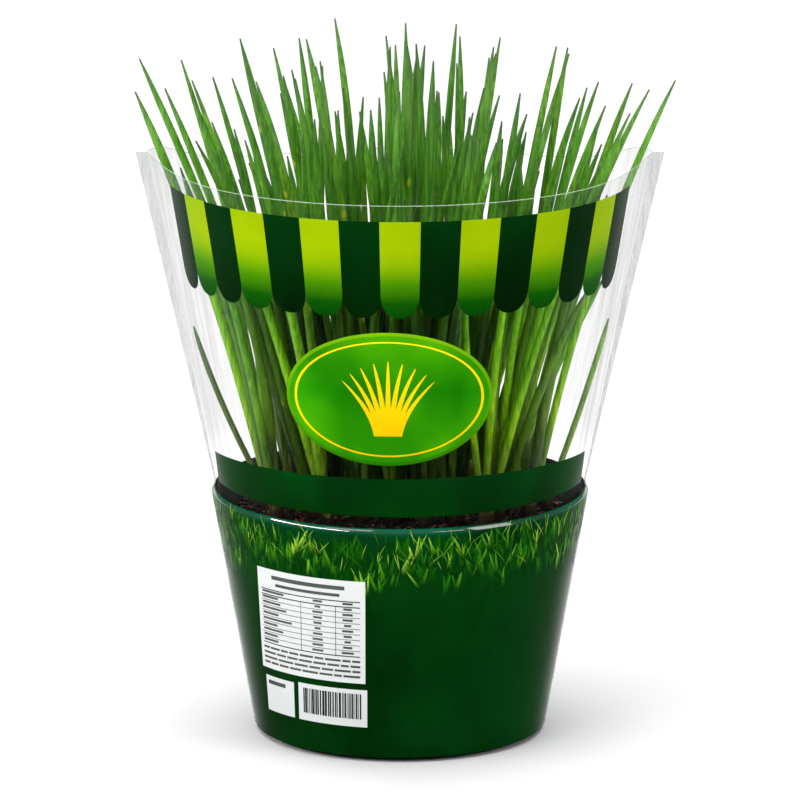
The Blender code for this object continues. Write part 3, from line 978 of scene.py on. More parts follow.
def soil_ring(builder, radius, height=None):
    """One ring of the soil: level at a height, or on the lumpy surface with its grains."""
    ring = []
    for k in range(SOIL_SIDES):
        x, y, level = circle_place(radius, math.tau * k / SOIL_SIDES, height or 0.0)
        if height is None:
            grain = noise.noise(Vector((x, y, 1.7)) * GRAINS_PER_METRE)
            level = soil_surface(x, y) + GRAIN_HEIGHT * grain
        ring.append(builder.verts.new((x, y, level)))
    return ring


def make_soil_material():
    material, tree, shader = new_material("potting_soil", 0.9, 0.2)
    coarse = variation(tree, 500.0)
    fine = variation(tree, 2600.0, low=0.3, high=0.7)
    browns = ramp(coarse, ((0.0, ink(4, 2, 1)), (0.5, ink(7, 4, 3)), (1.0, ink(22, 13, 10))))
    light = blend(fine * 0.25, browns, ink(84, 58, 44))
    feed(shader, {"Base Color": light, "Roughness": spread(coarse, 0, 1, 0.65, 0.98)})
    bump(shader, fine, 0.8, 0.0006)
    return material


def build_soil(material):
    """The block of soil: a tapered plug under a fine, lumpy surface."""
    builder = bmesh.new()
    rings = [[builder.verts.new((0, 0, soil_low.z))]]
    rings.append(soil_ring(builder, SOIL_RADIUS * SOIL_FOOT_SHARE, soil_low.z))
    rings.append(soil_ring(builder, SOIL_RADIUS, SOIL_HEIGHT - 4 * SOIL_LUMP))
    for ring in range(SOIL_RINGS, 0, -1):
        rings.append(soil_ring(builder, SOIL_RADIUS * ring / SOIL_RINGS))
    rings.append([builder.verts.new((0, 0, soil_surface(0, 0)))])
    for lower, upper in zip(rings, rings[1:]):
        strip(builder, lower, upper)
    piece = add_object("soil_block", mesh_of(builder, "soil_block"), material)
    piece.data.shade_smooth()
    return piece


soil = finish_piece(build_soil(make_soil_material()), "potting_soil")
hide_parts("potting_soil")
print("soil block", len(soil.data.polygons), "faces, radius", round(SOIL_RADIUS, 4))

# %% [markdown]
# What lies on the soil repeats, so a tree strews it: it spreads points over the surface with a
# fixed seed, turns and sizes a small shape at each, and makes them real. The same tree is used
# for round crumbs, thin bark flakes and short roots by changing how far the shape is stretched.

# %% Crumbs, bark and roots
HALF_TURNS = (3.14, 3.14, 3.14)
WHOLE_TURNS = (6.28, 6.28, 6.28)
BITS = (
    ("soil_crumbs", (ink(2, 1, 1), ink(10, 6, 4), ink(134, 92, 72)), 0.9, {
        "per_square_metre": 230000.0, "least": 0.0003, "most": 0.0011, "tilt": 3.0, "seed": 3,
    }),
    ("bark_bits", (ink(16, 8, 6), ink(58, 30, 21), ink(222, 164, 124)), 0.8, {
        "per_square_metre": 24000.0, "least": 0.0006, "most": 0.0015, "length": 2.4, "flatness": 0.35,
        "tilt": 0.7, "seed": 11,
    }),
    ("fine_roots", (ink(120, 92, 62), ink(170, 146, 108), ink(222, 208, 176)), 0.7, {
        "per_square_metre": 15000.0, "least": 0.00012, "most": 0.00022, "length": 16.0, "tilt": 0.35,
        "seed": 21,
    }),
)


def random_value(tree, low, high, seed, kind="FLOAT"):
    return put(tree, "FunctionNodeRandomValue", {"Min": low, "Max": high, "Seed": seed}, data_type=kind)


def make_strewing_tree():
    sizes = {
        "Per square metre": 40000.0, "Least": 0.0004, "Most": 0.0012, "Length": 1.0, "Flatness": 1.0,
        "Tilt": 3.0, "Seed": 1, "Detail": 1,
    }
    tree, given = geometry_tree("Strewn bits", sizes)
    inputs = {"Mesh": given["Geometry"], "Density": given["Per square metre"], "Seed": given["Seed"]}
    places = put(tree, "GeometryNodeDistributePointsOnFaces", inputs)
    bit = put(tree, "GeometryNodeMeshIcoSphere", {"Radius": 1.0, "Subdivisions": given["Detail"]})
    turn = random_value(tree, (0.0, 0.0, 0.0), WHOLE_TURNS, 5, "FLOAT_VECTOR")
    limit = vector(tree, X=given["Tilt"], Y=given["Tilt"], Z=WHOLE_TURNS[2])
    tilt = (turn - HALF_TURNS) * (limit / HALF_TURNS)
    shape = vector(tree, X=given["Length"], Y=1.0, Z=given["Flatness"])
    scale = shape * random_value(tree, given["Least"], given["Most"], 9)
    inputs = {"Points": places, "Instance": bit, "Rotation": tilt, "Scale": scale}
    strewn = put(tree, "GeometryNodeInstanceOnPoints", inputs)
    toned = keep(strewn, "tone", random_value(tree, 0.0, 1.0, 3), "INSTANCE")
    return end_tree(given, toned, smooth=False)


def make_bits_material(name, colours, roughness):
    """A finish for loose bits, each with its own tone."""
    material, tree, shader = new_material(name, roughness, 0.3)
    colours = ramp(mark(tree, "tone"), zip((0.0, 0.6, 1.0), colours))
    grain = variation(tree, 1500.0, low=0.25, high=0.75)
    feed(shader, {"Base Color": dyed(1.0 - grain, colours, ink(150, 140, 130))})
    bump(shader, grain, 0.5, 0.0004)
    return material


def soil_top_mesh():
    """The top of the soil alone, which the tree strews bits on."""
    builder = bmesh.new()
    builder.from_mesh(soil.data)
    shoulder = SOIL_HEIGHT - 3 * SOIL_LUMP
    low = [face for face in builder.faces if min(v.co.z for v in face.verts) < shoulder]
    bmesh.ops.delete(builder, geom=low, context="FACES")
    return mesh_of(builder, "soil_top")


strewing_tree = make_strewing_tree()
soil_top = soil_top_mesh()
for name, colours, roughness, sizes in BITS:
    piece = grow(name, strewing_tree, make_bits_material(name, colours, roughness), soil_top, **sizes)
    finish_piece(piece, "potting_soil")
    print(name, len(piece.data.polygons), "faces")

# %% [markdown]
# The pot is thin, black, blow-moulded plastic. Its wall tapers to a foot with a raised groove and
# drain holes, and its rim is a rolled collar. The solid has few sides, so the profile is turned
# again with many, and the drain holes are cut by a Boolean as in the solid.

# %% Pot
POT_WALL = 0.0012
POT_FOOT_RADIUS = 0.0520
POT_WALL_TOP_RADIUS = 0.0668
COLLAR_FOOT = 0.0860
FOOT_DISC_RADIUS = 0.020
FOOT_GROOVE_RADIUS = 0.040
FOOT_GROOVE_HEIGHT = 0.0015
FOOT_GROOVE_SLOPE = 0.0020
POT_EDGE = 0.0010
DRAIN_COUNT = 8
DRAIN_RADIUS = 0.0035
DRAIN_CUT = (-0.002, 0.006)
DRAIN_SIDES = 24
FILM_ROOM = 0.0008
POT_SIDES = 144


def wall_radius(height):
    return on_line(height, 0.0, POT_FOOT_RADIUS, COLLAR_FOOT, POT_WALL_TOP_RADIUS)


def collar_radius(height):
    return sleeve_radius(height) - FILM_ROOM


def pot_profile():
    """Half the pot's section: under its foot, up the outside, over the rim and down inside."""
    edge = POT_EDGE
    disc_end = FOOT_DISC_RADIUS + FOOT_GROOVE_SLOPE
    groove_end = FOOT_GROOVE_RADIUS + FOOT_GROOVE_SLOPE
    outside = [
        (0, 0), (FOOT_DISC_RADIUS, 0), (disc_end, FOOT_GROOVE_HEIGHT),
        (FOOT_GROOVE_RADIUS, FOOT_GROOVE_HEIGHT), (groove_end, 0),
        (POT_FOOT_RADIUS - edge, 0), (POT_FOOT_RADIUS - 0.3 * edge, 0.3 * edge),
        (wall_radius(edge), edge), (wall_radius(COLLAR_FOOT), COLLAR_FOOT),
        (collar_radius(COLLAR_FOOT + edge) - 0.3 * edge, COLLAR_FOOT + 0.3 * edge),
        (collar_radius(COLLAR_FOOT + edge), COLLAR_FOOT + edge),
    ]
    middle = collar_radius(POT_HEIGHT) - edge
    rim = [
        (middle + edge * math.cos(turn), POT_HEIGHT - edge + edge * math.sin(turn))
        for turn in steps(0.0, math.pi, 7)
    ]
    inside = [
        (collar_radius(COLLAR_FOOT + 2 * edge) - 2 * edge, COLLAR_FOOT + 2 * edge),
        (wall_radius(COLLAR_FOOT) - POT_WALL, COLLAR_FOOT + edge / 2),
        (wall_radius(2 * edge) - POT_WALL, 2 * edge), (POT_FOOT_RADIUS - POT_WALL - edge, POT_WALL),
        (groove_end, POT_WALL), (FOOT_GROOVE_RADIUS, POT_WALL + FOOT_GROOVE_HEIGHT),
        (disc_end, POT_WALL + FOOT_GROOVE_HEIGHT), (FOOT_DISC_RADIUS, POT_WALL), (0, POT_WALL),
    ]
    return outside + rim + inside


def make_pot_material():
    material, tree, shader = new_material("pot_plastic", 0.4, 0.2)
    dust = variation(tree, 90.0, (1, 1, 0.5), 0.42, 0.75)
    speck = variation(tree, 2400.0, low=0.55, high=0.8)
    black = blend(dust, ink(7, 6, 8), ink(20, 18, 18))
    specked = blend(speck * 0.4, black, ink(60, 50, 44))
    feed(shader, {"Base Color": specked, "Roughness": spread(dust, 0, 1, 0.32, 0.55)})
    bump(shader, variation(tree, 700.0), 0.15, 0.0002)
    return material


def build_pot(material):
    pot = add_object("pot", mesh_of(turned(pot_profile(), POT_SIDES), "pot"), material)
    drains = bpy.data.collections.new("drains")
    scene.collection.children.link(drains)
    across = (FOOT_DISC_RADIUS + FOOT_GROOVE_SLOPE + FOOT_GROOVE_RADIUS) / 2
    low, high = DRAIN_CUT
    for drain in range(DRAIN_COUNT):
        plug = turned([(0, low), (DRAIN_RADIUS, low), (DRAIN_RADIUS, high), (0, high)], DRAIN_SIDES)
        middle = circle_place(across, math.tau * (drain + 0.5) / DRAIN_COUNT, 0)
        bmesh.ops.translate(plug, verts=plug.verts, vec=middle)
        drains.objects.link(bpy.data.objects.new("drain", mesh_of(plug, "drain")))
    cut = pot.modifiers.new("Drains", "BOOLEAN")
    cut.operation = "DIFFERENCE"
    cut.operand_type = "COLLECTION"
    cut.collection = drains
    graph = bpy.context.evaluated_depsgraph_get()
    holed = bpy.data.meshes.new_from_object(pot.evaluated_get(graph))
    pot.modifiers.clear()
    pot.data = holed
    for plug in list(drains.objects):
        bpy.data.objects.remove(plug)
    bpy.data.collections.remove(drains)
    holed.shade_smooth()
    holed.set_sharp_from_angle(angle=SHARP_ANGLE)
    return pot


pot = finish_piece(build_pot(make_pot_material()), "pot_plastic", "nursery_pot")
print("pot", len(pot.data.polygons), "faces")

# %% [markdown]
# The film is clear polypropylene. Seen square on it hardly shows, and seen along its face it turns
# grey and mirrors the room, so a Layer Weight decides how much of the light it stops. The margin
# above the print has a slight haze. Streaks near the seams come from the pull of the weld.

# %% Film finish
FILM_THICKNESS = 0.00022
FILM_COLUMNS = 361
UNDER_BEAD = 0.0915
BEAD_FOOT = 0.0920
BEAD_TOP = 0.1005
FILM_ROWS = steps(SLEEVE_FOOT_HEIGHT, UNDER_BEAD, 26) + steps(BEAD_FOOT, BEAD_TOP, 18)
FLARE_ROWS = 40
VEIL = 0.20
VEIL_HEIGHTS = (0.0990, 0.1180)
VEIL_BELOW_NECK = 0.12
MARGIN_HEIGHTS = (0.2196, 0.2206)
MARGIN_HAZE = 0.012
LEAST_STOPPED = 0.004


def make_film_material():
    material, tree, shader = new_material("clear_film", 0.12, 0.5)
    feed(shader, {"Base Color": ink(84, 85, 88)})
    height = height_in(tree)
    streaks = variation(tree, 240.0, (0.4, 1, 0.05), 0.42, 0.72)
    edge = spread(turned_away(tree), 0.25, 0.8, 0.0, VEIL) * work("MULTIPLY_ADD", streaks, 0.7, 0.5)
    above_neck = spread(height, *VEIL_HEIGHTS, VEIL_BELOW_NECK, 1.0)
    haze = spread(height, *MARGIN_HEIGHTS, 0.0, MARGIN_HAZE)
    stopped = work("ADD", work("MULTIPLY_ADD", edge, above_neck, haze), LEAST_STOPPED, clamp=True)
    clear = put(tree, "ShaderNodeBsdfTransparent", {"Color": (1, 1, 1, 1)})
    mixed = put(tree, "ShaderNodeMixShader", {0: stopped, 1: clear, 2: shader})
    feed(Made(tree, tree.nodes["Material Output"]), {"Surface": mixed})
    bump(shader, streaks, 0.3, 0.0006)
    return material


def film_layout(angle, row):
    """Angle and height of a film point. The rows above the neck fan out to the cut edge."""
    if row < len(FILM_ROWS):
        return angle, FILM_ROWS[row]
    share = (row - len(FILM_ROWS) + 1) / FLARE_ROWS
    return angle, between(BEAD_TOP, sleeve_top(angle - math.pi / 2), share)


film_columns = steps(-math.pi, math.pi, FILM_COLUMNS)
film_flat = flat_grid("film_flat", film_columns, range(len(FILM_ROWS) + FLARE_ROWS), film_layout)
film_material = make_film_material()
film = grow("film", roll_tree, film_material, film_flat, lift=-FILM_THICKNESS, thickness=FILM_THICKNESS)
finish_piece(film, "printed_film", "printed_sleeve")
print("film", len(film.data.polygons), "faces")

# %% [markdown]
# Two edges of the film show as lines of their own. Along the cut edge a thin pale line is a painted
# highlight, for the light that travels inside the film and comes out there. Down each side the two
# panels are welded into a flat fin, which is milky, and widest at the mouth.

# %% Cut edge and weld fins
EDGE_RADIUS = 0.00016
SEAM_WIDTH_BELOW_RIM = 0.0006
SEAM_WIDTH_AT_MOUTH = 0.0041
FIN_OVERLAP = 0.0001
FIN_HALF_THICKNESS = 0.0003
FIN_ROWS = 150
CRIMP_DEPTH = 0.00008
CRIMP_LENGTH = 0.0016


def make_milky_material(name, colour, alpha, streak):
    """Pale, half clear film with streaks along it, for the milky weld fins and for the painted highlight
    along the cut edge.
    """
    material, tree, shader = new_material(name, 0.2, 0.5)
    streaks = variation(tree, 900.0, (1, 0.6, streak), 0.35, 0.65)
    feed(shader, {"Base Color": colour, "Alpha": spread(streaks, 0, 1, alpha * 0.7, alpha)})
    return material


def make_edge_tree():
    tree, given = geometry_tree("Cut edge", {"Radius": EDGE_RADIUS})
    path = put(tree, "GeometryNodeMeshToCurve", {0: given["Geometry"]})
    circle = put(tree, "GeometryNodeCurvePrimitiveCircle", {"Resolution": 6, "Radius": given["Radius"]})
    return end_tree(given, put(tree, "GeometryNodeCurveToMesh", {"Curve": path, "Profile Curve": circle}))


def edge_path():
    """The cut edge read back from the film: its highest point in each column."""
    count = FILM_COLUMNS - 1
    highest = {}
    for vertex in film.data.vertices:
        column = round(math.atan2(vertex.co.x, -vertex.co.y) / math.tau * count) % count
        if column not in highest or vertex.co.z > highest[column].z:
            highest[column] = vertex.co.copy()
    points = [highest[column] for column in sorted(highest)]
    mesh = bpy.data.meshes.new("edge_path")
    mesh.from_pydata(points, [(k, (k + 1) % len(points)) for k in range(len(points))], [])
    return mesh


def build_fin(name, side, material):
    """A flat fin that stands out from the film at one side, with faint crimps across it."""
    builder = bmesh.new()
    rings = []
    half = FIN_HALF_THICKNESS
    for height in steps(SLEEVE_FOOT_HEIGHT, SLEEVE_MOUTH_HEIGHT, FIN_ROWS):
        inner = beaded_radius(height) - FIN_OVERLAP
        outer = beaded_radius(height) + between(SEAM_WIDTH_BELOW_RIM, SEAM_WIDTH_AT_MOUTH, flare(height))
        crimp = CRIMP_DEPTH * math.sin(height * math.tau / CRIMP_LENGTH)
        corners = ((inner, -half), (outer, -half + crimp), (outer, half + crimp), (inner, half))
        rings.append([builder.verts.new((side * r, across, height)) for r, across in corners])
    for lower, upper in zip(rings, rings[1:]):
        strip(builder, lower, upper)
    builder.faces.new(rings[0][::-1])
    builder.faces.new(rings[-1])
    bmesh.ops.recalc_face_normals(builder, faces=builder.faces)
    return add_object(name, mesh_of(builder, name), material)


# The cut edge's pale line is a painted highlight.
edge_highlight_material = make_milky_material("film_edge_highlight", ink(206, 226, 200), 0.55, 1.0)
fin_material = make_milky_material("weld_fin", ink(188, 190, 193), 0.46, 0.05)
cut_edge = grow("film_cut_edge", make_edge_tree(), edge_highlight_material, edge_path())
fins = [build_fin("weld_fin_right", 1, fin_material), build_fin("weld_fin_left", -1, fin_material)]
for piece in (cut_edge, *fins):
    finish_piece(piece, "printed_film")
    print(piece.name, len(piece.data.polygons), "faces")

# %% [markdown]
# Ink lies on the film in thin layers, like stickers a tenth of a millimetre thick. A printed
# colour is never quite even, so each ink shifts a little in slow clouds, and its gloss is weak
# but rises towards the edges. Over the rim's bead the film lies tight and catches the light.

# %% Ink finishes
INK_LAYER = 0.00008
INK_SPECULAR = 0.01
INK_ROUGHNESS = 0.28
BEAD_GLOSS_RISE = (0.0932, 0.0940)
BEAD_GLOSS_FALL = (0.0951, 0.0955)
BEAD_UPWARD = (0.13, 0.28)
EDGE_GLOSS = 0.25
COAT_ROUGHNESS = 0.08
COAT_IOR = 2.1


def film_gloss(tree):
    """How much of the film's gloss shows: all of it on the bead, and more as the film turns away."""
    height = height_in(tree)
    rising = spread(height, *BEAD_GLOSS_RISE, smooth=True)
    falling = spread(height, *BEAD_GLOSS_FALL, 1.0, 0.0, smooth=True)
    upward = spread(parts_of(put(tree, "ShaderNodeNewGeometry")["Normal"])["Z"], *BEAD_UPWARD)
    aside = spread(turned_away(tree), 0.6, 0.95, 0.0, EDGE_GLOSS, smooth=True)
    return work("MAXIMUM", rising * falling * upward, aside)


def glossy_ink(name):
    """A material whose coat is the film's gloss."""
    material, tree, shader = new_material(name, INK_ROUGHNESS, INK_SPECULAR)
    coat = {"Coat Roughness": COAT_ROUGHNESS, "Coat IOR": COAT_IOR, "Coat Weight": film_gloss(tree)}
    return material, tree, feed(shader, coat)


def make_ink(name, low, high, dye, *stops):
    """An ink whose colour runs with height, with slow clouds of a deeper shade."""
    material, tree, shader = glossy_ink(name)
    colours = ramp(spread(height_in(tree), low, high), stops)
    clouds = variation(tree, 26.0, (1, 1, 0.7), 0.38, 0.62)
    feed(shader, {"Base Color": dyed(1.0 - clouds, colours, dye)})
    return material


def print_on(name, tree, material, start, layer=0.5, thick=1.0, **sizes):
    """Grows a piece of print that lies a number of layers of ink above the film."""
    sizes.update(lift=INK_LAYER * layer, thickness=INK_LAYER * thick)
    piece = finish_piece(grow(name, tree, material, start, **sizes), "printed_film")
    print(name, len(piece.data.polygons), "faces")


DEEPER = ink(190, 200, 190)
dark_ink = make_ink("dark_green_ink", 0.18, 0.222, DEEPER, (0.0, ink(0, 33, 1)), (1.0, ink(0, 50, 8)))
lime_ink = make_ink(
    "lime_ink", 0.181, 0.220, ink(236, 240, 230),
    (0.00, ink(3, 66, 1)), (0.16, ink(9, 84, 1)), (0.36, ink(72, 139, 1)),
    (0.56, ink(139, 178, 1)), (0.72, ink(158, 186, 1)), (1.00, ink(153, 183, 1)),
)
band_ink = make_ink("band_ink", 0.10, 0.116, DEEPER, (0.0, ink(0, 54, 5)), (1.0, ink(1, 62, 14)))
# The green wrap turns teal at its top, over the bead: a painted sheen beside the bead's highlight.
wrap_ink = make_ink(
    "wrap_ink", 0.0, 0.096, ink(150, 190, 160),
    (0.0, ink(2, 60, 14)), (0.35, ink(1, 52, 8)), (0.9, ink(2, 60, 12)),
    (0.965, ink(2, 60, 24)), (1.0, ink(0, 98, 68)),
)
print("ink finish with", len(wrap_ink.node_tree.nodes), "nodes")

# %% [markdown]
# The awning is fifteen stripes with rounded ends, dark green and lime by turns. A single stripe is
# a small grid whose lower end follows a rounded curve, and a tree copies it along the sleeve's
# front. Each colour is one run of the tree: the dark run starts at the edge, the lime run one in.

# %% Awning
STRIPE_ANGLE = math.radians(9.32)
STRIPE_TOP = 0.2200
STRIPE_SHOULDER = 0.1905
STRIPE_END = 0.1813
STRIPE_ROUNDNESS = 2.3
STRIPE_COUNT = 15


def stripe_layout(across, down):
    """A stripe point, from -1 to 1 across and 0 to 1 down, with a round lower end."""
    rounding = (1 - abs(across) ** STRIPE_ROUNDNESS) ** (1 / STRIPE_ROUNDNESS)
    end = STRIPE_SHOULDER - (STRIPE_SHOULDER - STRIPE_END) * rounding
    return across * STRIPE_ANGLE / 2, between(end, STRIPE_TOP, down)


def make_stripes_tree():
    """Copies a flat stripe along the sleeve at even angles."""
    sizes = {"First angle": 0.0, "Angle step": 0.1, "Stripes": 2, **ROLL_SIZES}
    tree, given = geometry_tree("Awning stripes", sizes)
    inputs = {
        "Count": given["Stripes"],
        "Start Location": vector(tree, X=given["First angle"]),
        "Offset": vector(tree, X=given["Angle step"]),
    }
    return finish_roll(given, copied(put(tree, "GeometryNodeMeshLine", inputs), given["Geometry"]))


def half_circle_steps(count):
    """Steps from -1 to 1 that crowd towards both ends, where the rounding bends most."""
    return [-math.cos(turn) for turn in steps(0.0, math.pi, count)]


stripe_flat = flat_grid("stripe_flat", half_circle_steps(17), steps(0, 1, 18), stripe_layout)
stripes_tree = make_stripes_tree()
for name, material, first, count in (("awning_dark", dark_ink, 0, 8), ("awning_lime", lime_ink, 1, 7)):
    print_on(
        name, stripes_tree, material, stripe_flat, stripes=count,
        first_angle=(first - (STRIPE_COUNT - 1) / 2) * STRIPE_ANGLE, angle_step=2 * STRIPE_ANGLE,
    )

# %% [markdown]
# Below the leaves a plain dark band crosses the front, and from just over the rim down to the foot
# the whole sleeve is printed green. Both are single sheets of ink, so they are flat grids rolled
# by the first tree, with close rows where the bead bends them.

# %% Band and green wrap
BAND_ANGLES = (math.radians(75.0), math.radians(72.7))
BAND_LOW = 0.1005
BAND_HIGH = 0.1160
BAND_DROOP = 0.0018
WRAP_LOW = 0.0021
WRAP_HIGH = 0.0958


def band_layout(across, up):
    """The band narrows a little and bows up towards its ends."""
    bow = BAND_DROOP * abs(across) ** 3
    height = between(BAND_LOW + bow * 0.6, BAND_HIGH - bow, up)
    return across * between(*BAND_ANGLES, up), height


band_flat = flat_grid("band_flat", steps(-1, 1, 101), steps(0, 1, 9), band_layout)
wrap_rows = steps(WRAP_LOW, UNDER_BEAD, 26) + steps(BEAD_FOOT, WRAP_HIGH, 10)
wrap_flat = flat_grid("wrap_flat", film_columns, wrap_rows, lambda u, v: (u, v))
print_on("name_band", roll_tree, band_ink, band_flat)
print_on("green_wrap", roll_tree, wrap_ink, wrap_flat)

# %% [markdown]
# Along the top of the wrap runs a printed border of grass. It is drawn by a seeded rule, in tufts
# whose blades fan out from one root: broad and dark at the back, bright and slim in front, and
# hair-fine wisps over them. Each blade fades into the green at its root. One tree bends them all.

# %% Grass border
ROOT_WANDER = (0.0007, 0.0006)
BELOW_WRAP_EDGE = (0.0008, 0.0026)
GRASS_LAYERS = (
    ("grass_back", 300, (2, 3), (0.064, 0.080), (0.009, 0.018), (0.0016, 0.0028), 0.15, (0.20, 0.08)),
    ("grass_middle", 190, (2, 3), (0.066, 0.083), (0.008, 0.015), (0.0010, 0.0020), 0.19, (0.46, 0.13)),
    ("grass_front", 120, (1, 4), (0.067, 0.086), (0.006, 0.012), (0.0007, 0.0014), 0.22, (0.72, 0.15)),
    ("grass_wisps", 190, (1, 3), (0.076, 0.090), (0.005, 0.010), (0.0003, 0.0004), 0.34, (0.84, 0.14)),
)


def unit_grid(tree, columns, rows):
    """A flat grid one across and one up, round the origin."""
    inputs = {"Size X": 1.0, "Size Y": 1.0, "Vertices X": columns, "Vertices Y": rows}
    return put(tree, "GeometryNodeMeshGrid", inputs)


def make_blades_tree():
    tree, given = geometry_tree("Printed blades", {"Steps": 8, "Taper": 0.6, **ROLL_SIZES})
    spot = parts_of(put(tree, "GeometryNodeInputPosition"))
    marked = keep(unit_grid(tree, 2, given["Steps"]), "side", spot["X"])
    marked = keep(marked, "along", spot["Y"] + 0.5)
    real = copied(given["Geometry"], marked)
    along, side, tall, wide, lean, bow = carried(tree, "along", "side", "tall", "wide", "lean", "bow")
    thin = (1.03 - along * along) ** given["Taper"]
    sway = (lean * along + bow * (along * along)) * tall
    flat = vector(tree, X=side * wide * thin + sway, Y=along * tall)
    root, = carried(tree, "root", kind="FLOAT_VECTOR")
    return finish_roll(given, placed(real, root + flat))


def make_grass_material():
    """Blades that are bright at their tips and melt into the wrap's green at their roots."""
    material, tree, shader = glossy_ink("grass_ink")
    tips = ramp(mark(tree, "tone"), (
        (0.0, ink(1, 44, 3)), (0.3, ink(5, 68, 4)), (0.6, ink(32, 104, 9)), (0.85, ink(84, 148, 20)),
        (1.0, ink(150, 200, 66)),
    ))
    rise = spread(mark(tree, "along"), 0.12, 0.8, smooth=True)
    feed(shader, {"Base Color": blend(rise, ink(2, 54, 8), tips)})
    return material


def tuft_rows(draw, count, blades, foot, tall, wide, fan, tone):
    """Tufts spread round the whole sleeve, whose blades fan out from one root."""
    rows = []
    for k in range(count):
        spot = (k + draw.random()) / count - 0.5
        root_height = draw.uniform(*foot)
        tuft_tone = draw.gauss(*tone)
        tuft_lean = draw.gauss(0.0, 0.4 * fan)
        across = spot * math.tau * beaded_radius(root_height)
        for _ in range(draw.randint(*blades)):
            stray = draw.gauss(0.0, ROOT_WANDER[0])
            rows.append({
                "root": (across + stray, root_height + draw.gauss(0.0, ROOT_WANDER[1]), 0.0),
                "tall": draw.uniform(*tall),
                "wide": draw.uniform(*wide),
                "lean": tuft_lean + draw.gauss(0.0, fan),
                "bow": draw.gauss(0.0, fan),
                "tone": min(1.0, max(0.0, tuft_tone + draw.gauss(0.0, 0.12))),
            })
    return rows


grass_draw = random.Random(31)
grass_material = make_grass_material()
blades_tree = make_blades_tree()
for layer, (name, *rule) in enumerate(GRASS_LAYERS, 1):
    rows = tuft_rows(grass_draw, *rule)
    for row in rows:
        limit = WRAP_HIGH - (0.0 if name == "grass_wisps" else grass_draw.uniform(*BELOW_WRAP_EDGE))
        row["tall"] = min(row["tall"], limit - row["root"][1])
    points = points_with("blade_rows", rows)
    print_on(name, blades_tree, grass_material, points, 0.5 + 0.7 * layer, 0.6, by_arc=1)

# %% [markdown]
# In the middle of the front sits a badge: a plain oval in like greens, with a lime rim, a thin
# yellow line and a small bunch of leaves made by the blade tree. An oval is a round grid of rings
# and spokes, laid out flat before it is rolled on to the film.

# %% Badge
BADGE_MIDDLE = (-0.0045, 0.1485)
BADGE_HALF = (0.0405, 0.0270)
HUB_SHARE = 0.02
HUB_SEARCH = 0.1
BUNCH_FOOT = 0.1335
BUNCH_LEAVES = 9


def ellipse_layout(name, middle, half, inner=0.0):
    """A flat oval, or an oval ring where inner is a share of it."""
    def place(turn, share):
        wide = between(inner, 1.0, share)
        return middle[0] + half[0] * wide * math.sin(turn), middle[1] + half[1] * wide * math.cos(turn)

    rings = steps(0.0, 1.0, 4) if inner else steps(HUB_SHARE, 1.0, 14)
    builder = bmesh.new()
    builder.from_mesh(flat_grid(name, steps(-math.pi, math.pi, 121), rings, place))
    bmesh.ops.remove_doubles(builder, verts=builder.verts, dist=SAME_PLACE)
    if not inner:
        near = half[0] * HUB_SEARCH
        hub = [
            edge for edge in builder.edges
            if edge.is_boundary and (edge.verts[0].co.xy - Vector(middle)).length < near
        ]
        bmesh.ops.holes_fill(builder, edges=hub)
    bmesh.ops.recalc_face_normals(builder, faces=builder.faces)
    if builder.faces[0].normal.z < 0:
        bmesh.ops.reverse_faces(builder, faces=builder.faces)
    return mesh_of(builder, name)


badge_ink = make_ink(
    "badge_ink", 0.121, 0.176, ink(150, 200, 150),
    (0.0, ink(74, 170, 3)), (0.3, ink(66, 166, 3)), (0.55, ink(42, 150, 3)), (0.8, ink(68, 166, 3)),
    (1.0, ink(92, 184, 3)),
)
rim_ink = make_ink(
    "badge_rim_ink", 0.121, 0.176, ink(230, 240, 220), (0.0, ink(34, 118, 4)), (1.0, ink(128, 190, 10))
)
yellow_ink = make_ink(
    "yellow_ink", 0.13, 0.17, ink(240, 236, 220), (0.0, ink(246, 206, 0)), (1.0, ink(255, 234, 20))
)
badge_layers = (
    ("badge_rim", rim_ink, 0.0, 0.0),
    ("badge_field", badge_ink, 0.0014, 0.0),
    ("badge_line", yellow_ink, 0.0036, 0.972),
)
for layer, (name, material, inset, inner) in enumerate(badge_layers, 1):
    flat = ellipse_layout(name + "_flat", BADGE_MIDDLE, [size - inset for size in BADGE_HALF], inner)
    print_on(name, roll_tree, material, flat, 1.2 * layer - 0.7, by_arc=1)
bunch_rows = [
    {
        "root": (BADGE_MIDDLE[0] + 0.0042 * out, BUNCH_FOOT, 0.0),
        "tall": 0.0305 - 0.0085 * abs(out) ** 1.5,
        "wide": 0.0021,
        "lean": 0.18 * out,
        "bow": 0.42 * out,
        "tone": 1.0,
    }
    for out in steps(-1.0, 1.0, BUNCH_LEAVES)
]
bunch = points_with("bunch_rows", bunch_rows)
print_on("badge_bunch", blades_tree, yellow_ink, bunch, 4.2, by_arc=1, steps=16, taper=0.55)

# %% [markdown]
# At the lower left are three white panels, as on any sold food: a ruled table, a small box for a
# date stamp and a box of bars. Grey dashes fill the table's columns, and the widths of the bars
# are drawn at random. All are rectangles from one tree.

# %% White panels
TABLE = (-0.0625, -0.0132, 0.0322, 0.0742)
DATE_BOX = (-0.0606, -0.0441, 0.0142, 0.0290)
BAR_BOX = (-0.0418, -0.0125, 0.0142, 0.0296)
TABLE_MARGIN = 0.0020
TABLE_ROWS = 10
TABLE_COLUMNS = (0.0205, 0.0355)
HEADINGS = ((0.0165, 0.0040, 0.0024), (0.0145, 0.0068, 0.0056))
HEADING_DEPTH = 0.0084
ROW_HEIGHT = 0.00225
RULE = 0.00016
HEAVY_RULE = 2.2 * RULE
DASH_HEIGHT = 0.00085
DASH_START = 0.0006
DASH_END = (0.008, 0.017)
SHORT_DASH_HALF = (0.0012, 0.0024)
NOTE_LINES = 4
NOTE_STEP = 0.0021
NOTE_DROP = 0.0026
NOTE_DASH = (0.003, 0.008)
NOTE_GAP = 0.0007
STAMP_ACROSS = (0.0016, 0.0120)
STAMP_DOWN = (0.0034, 0.0018)
BAR_UNIT = 0.00027
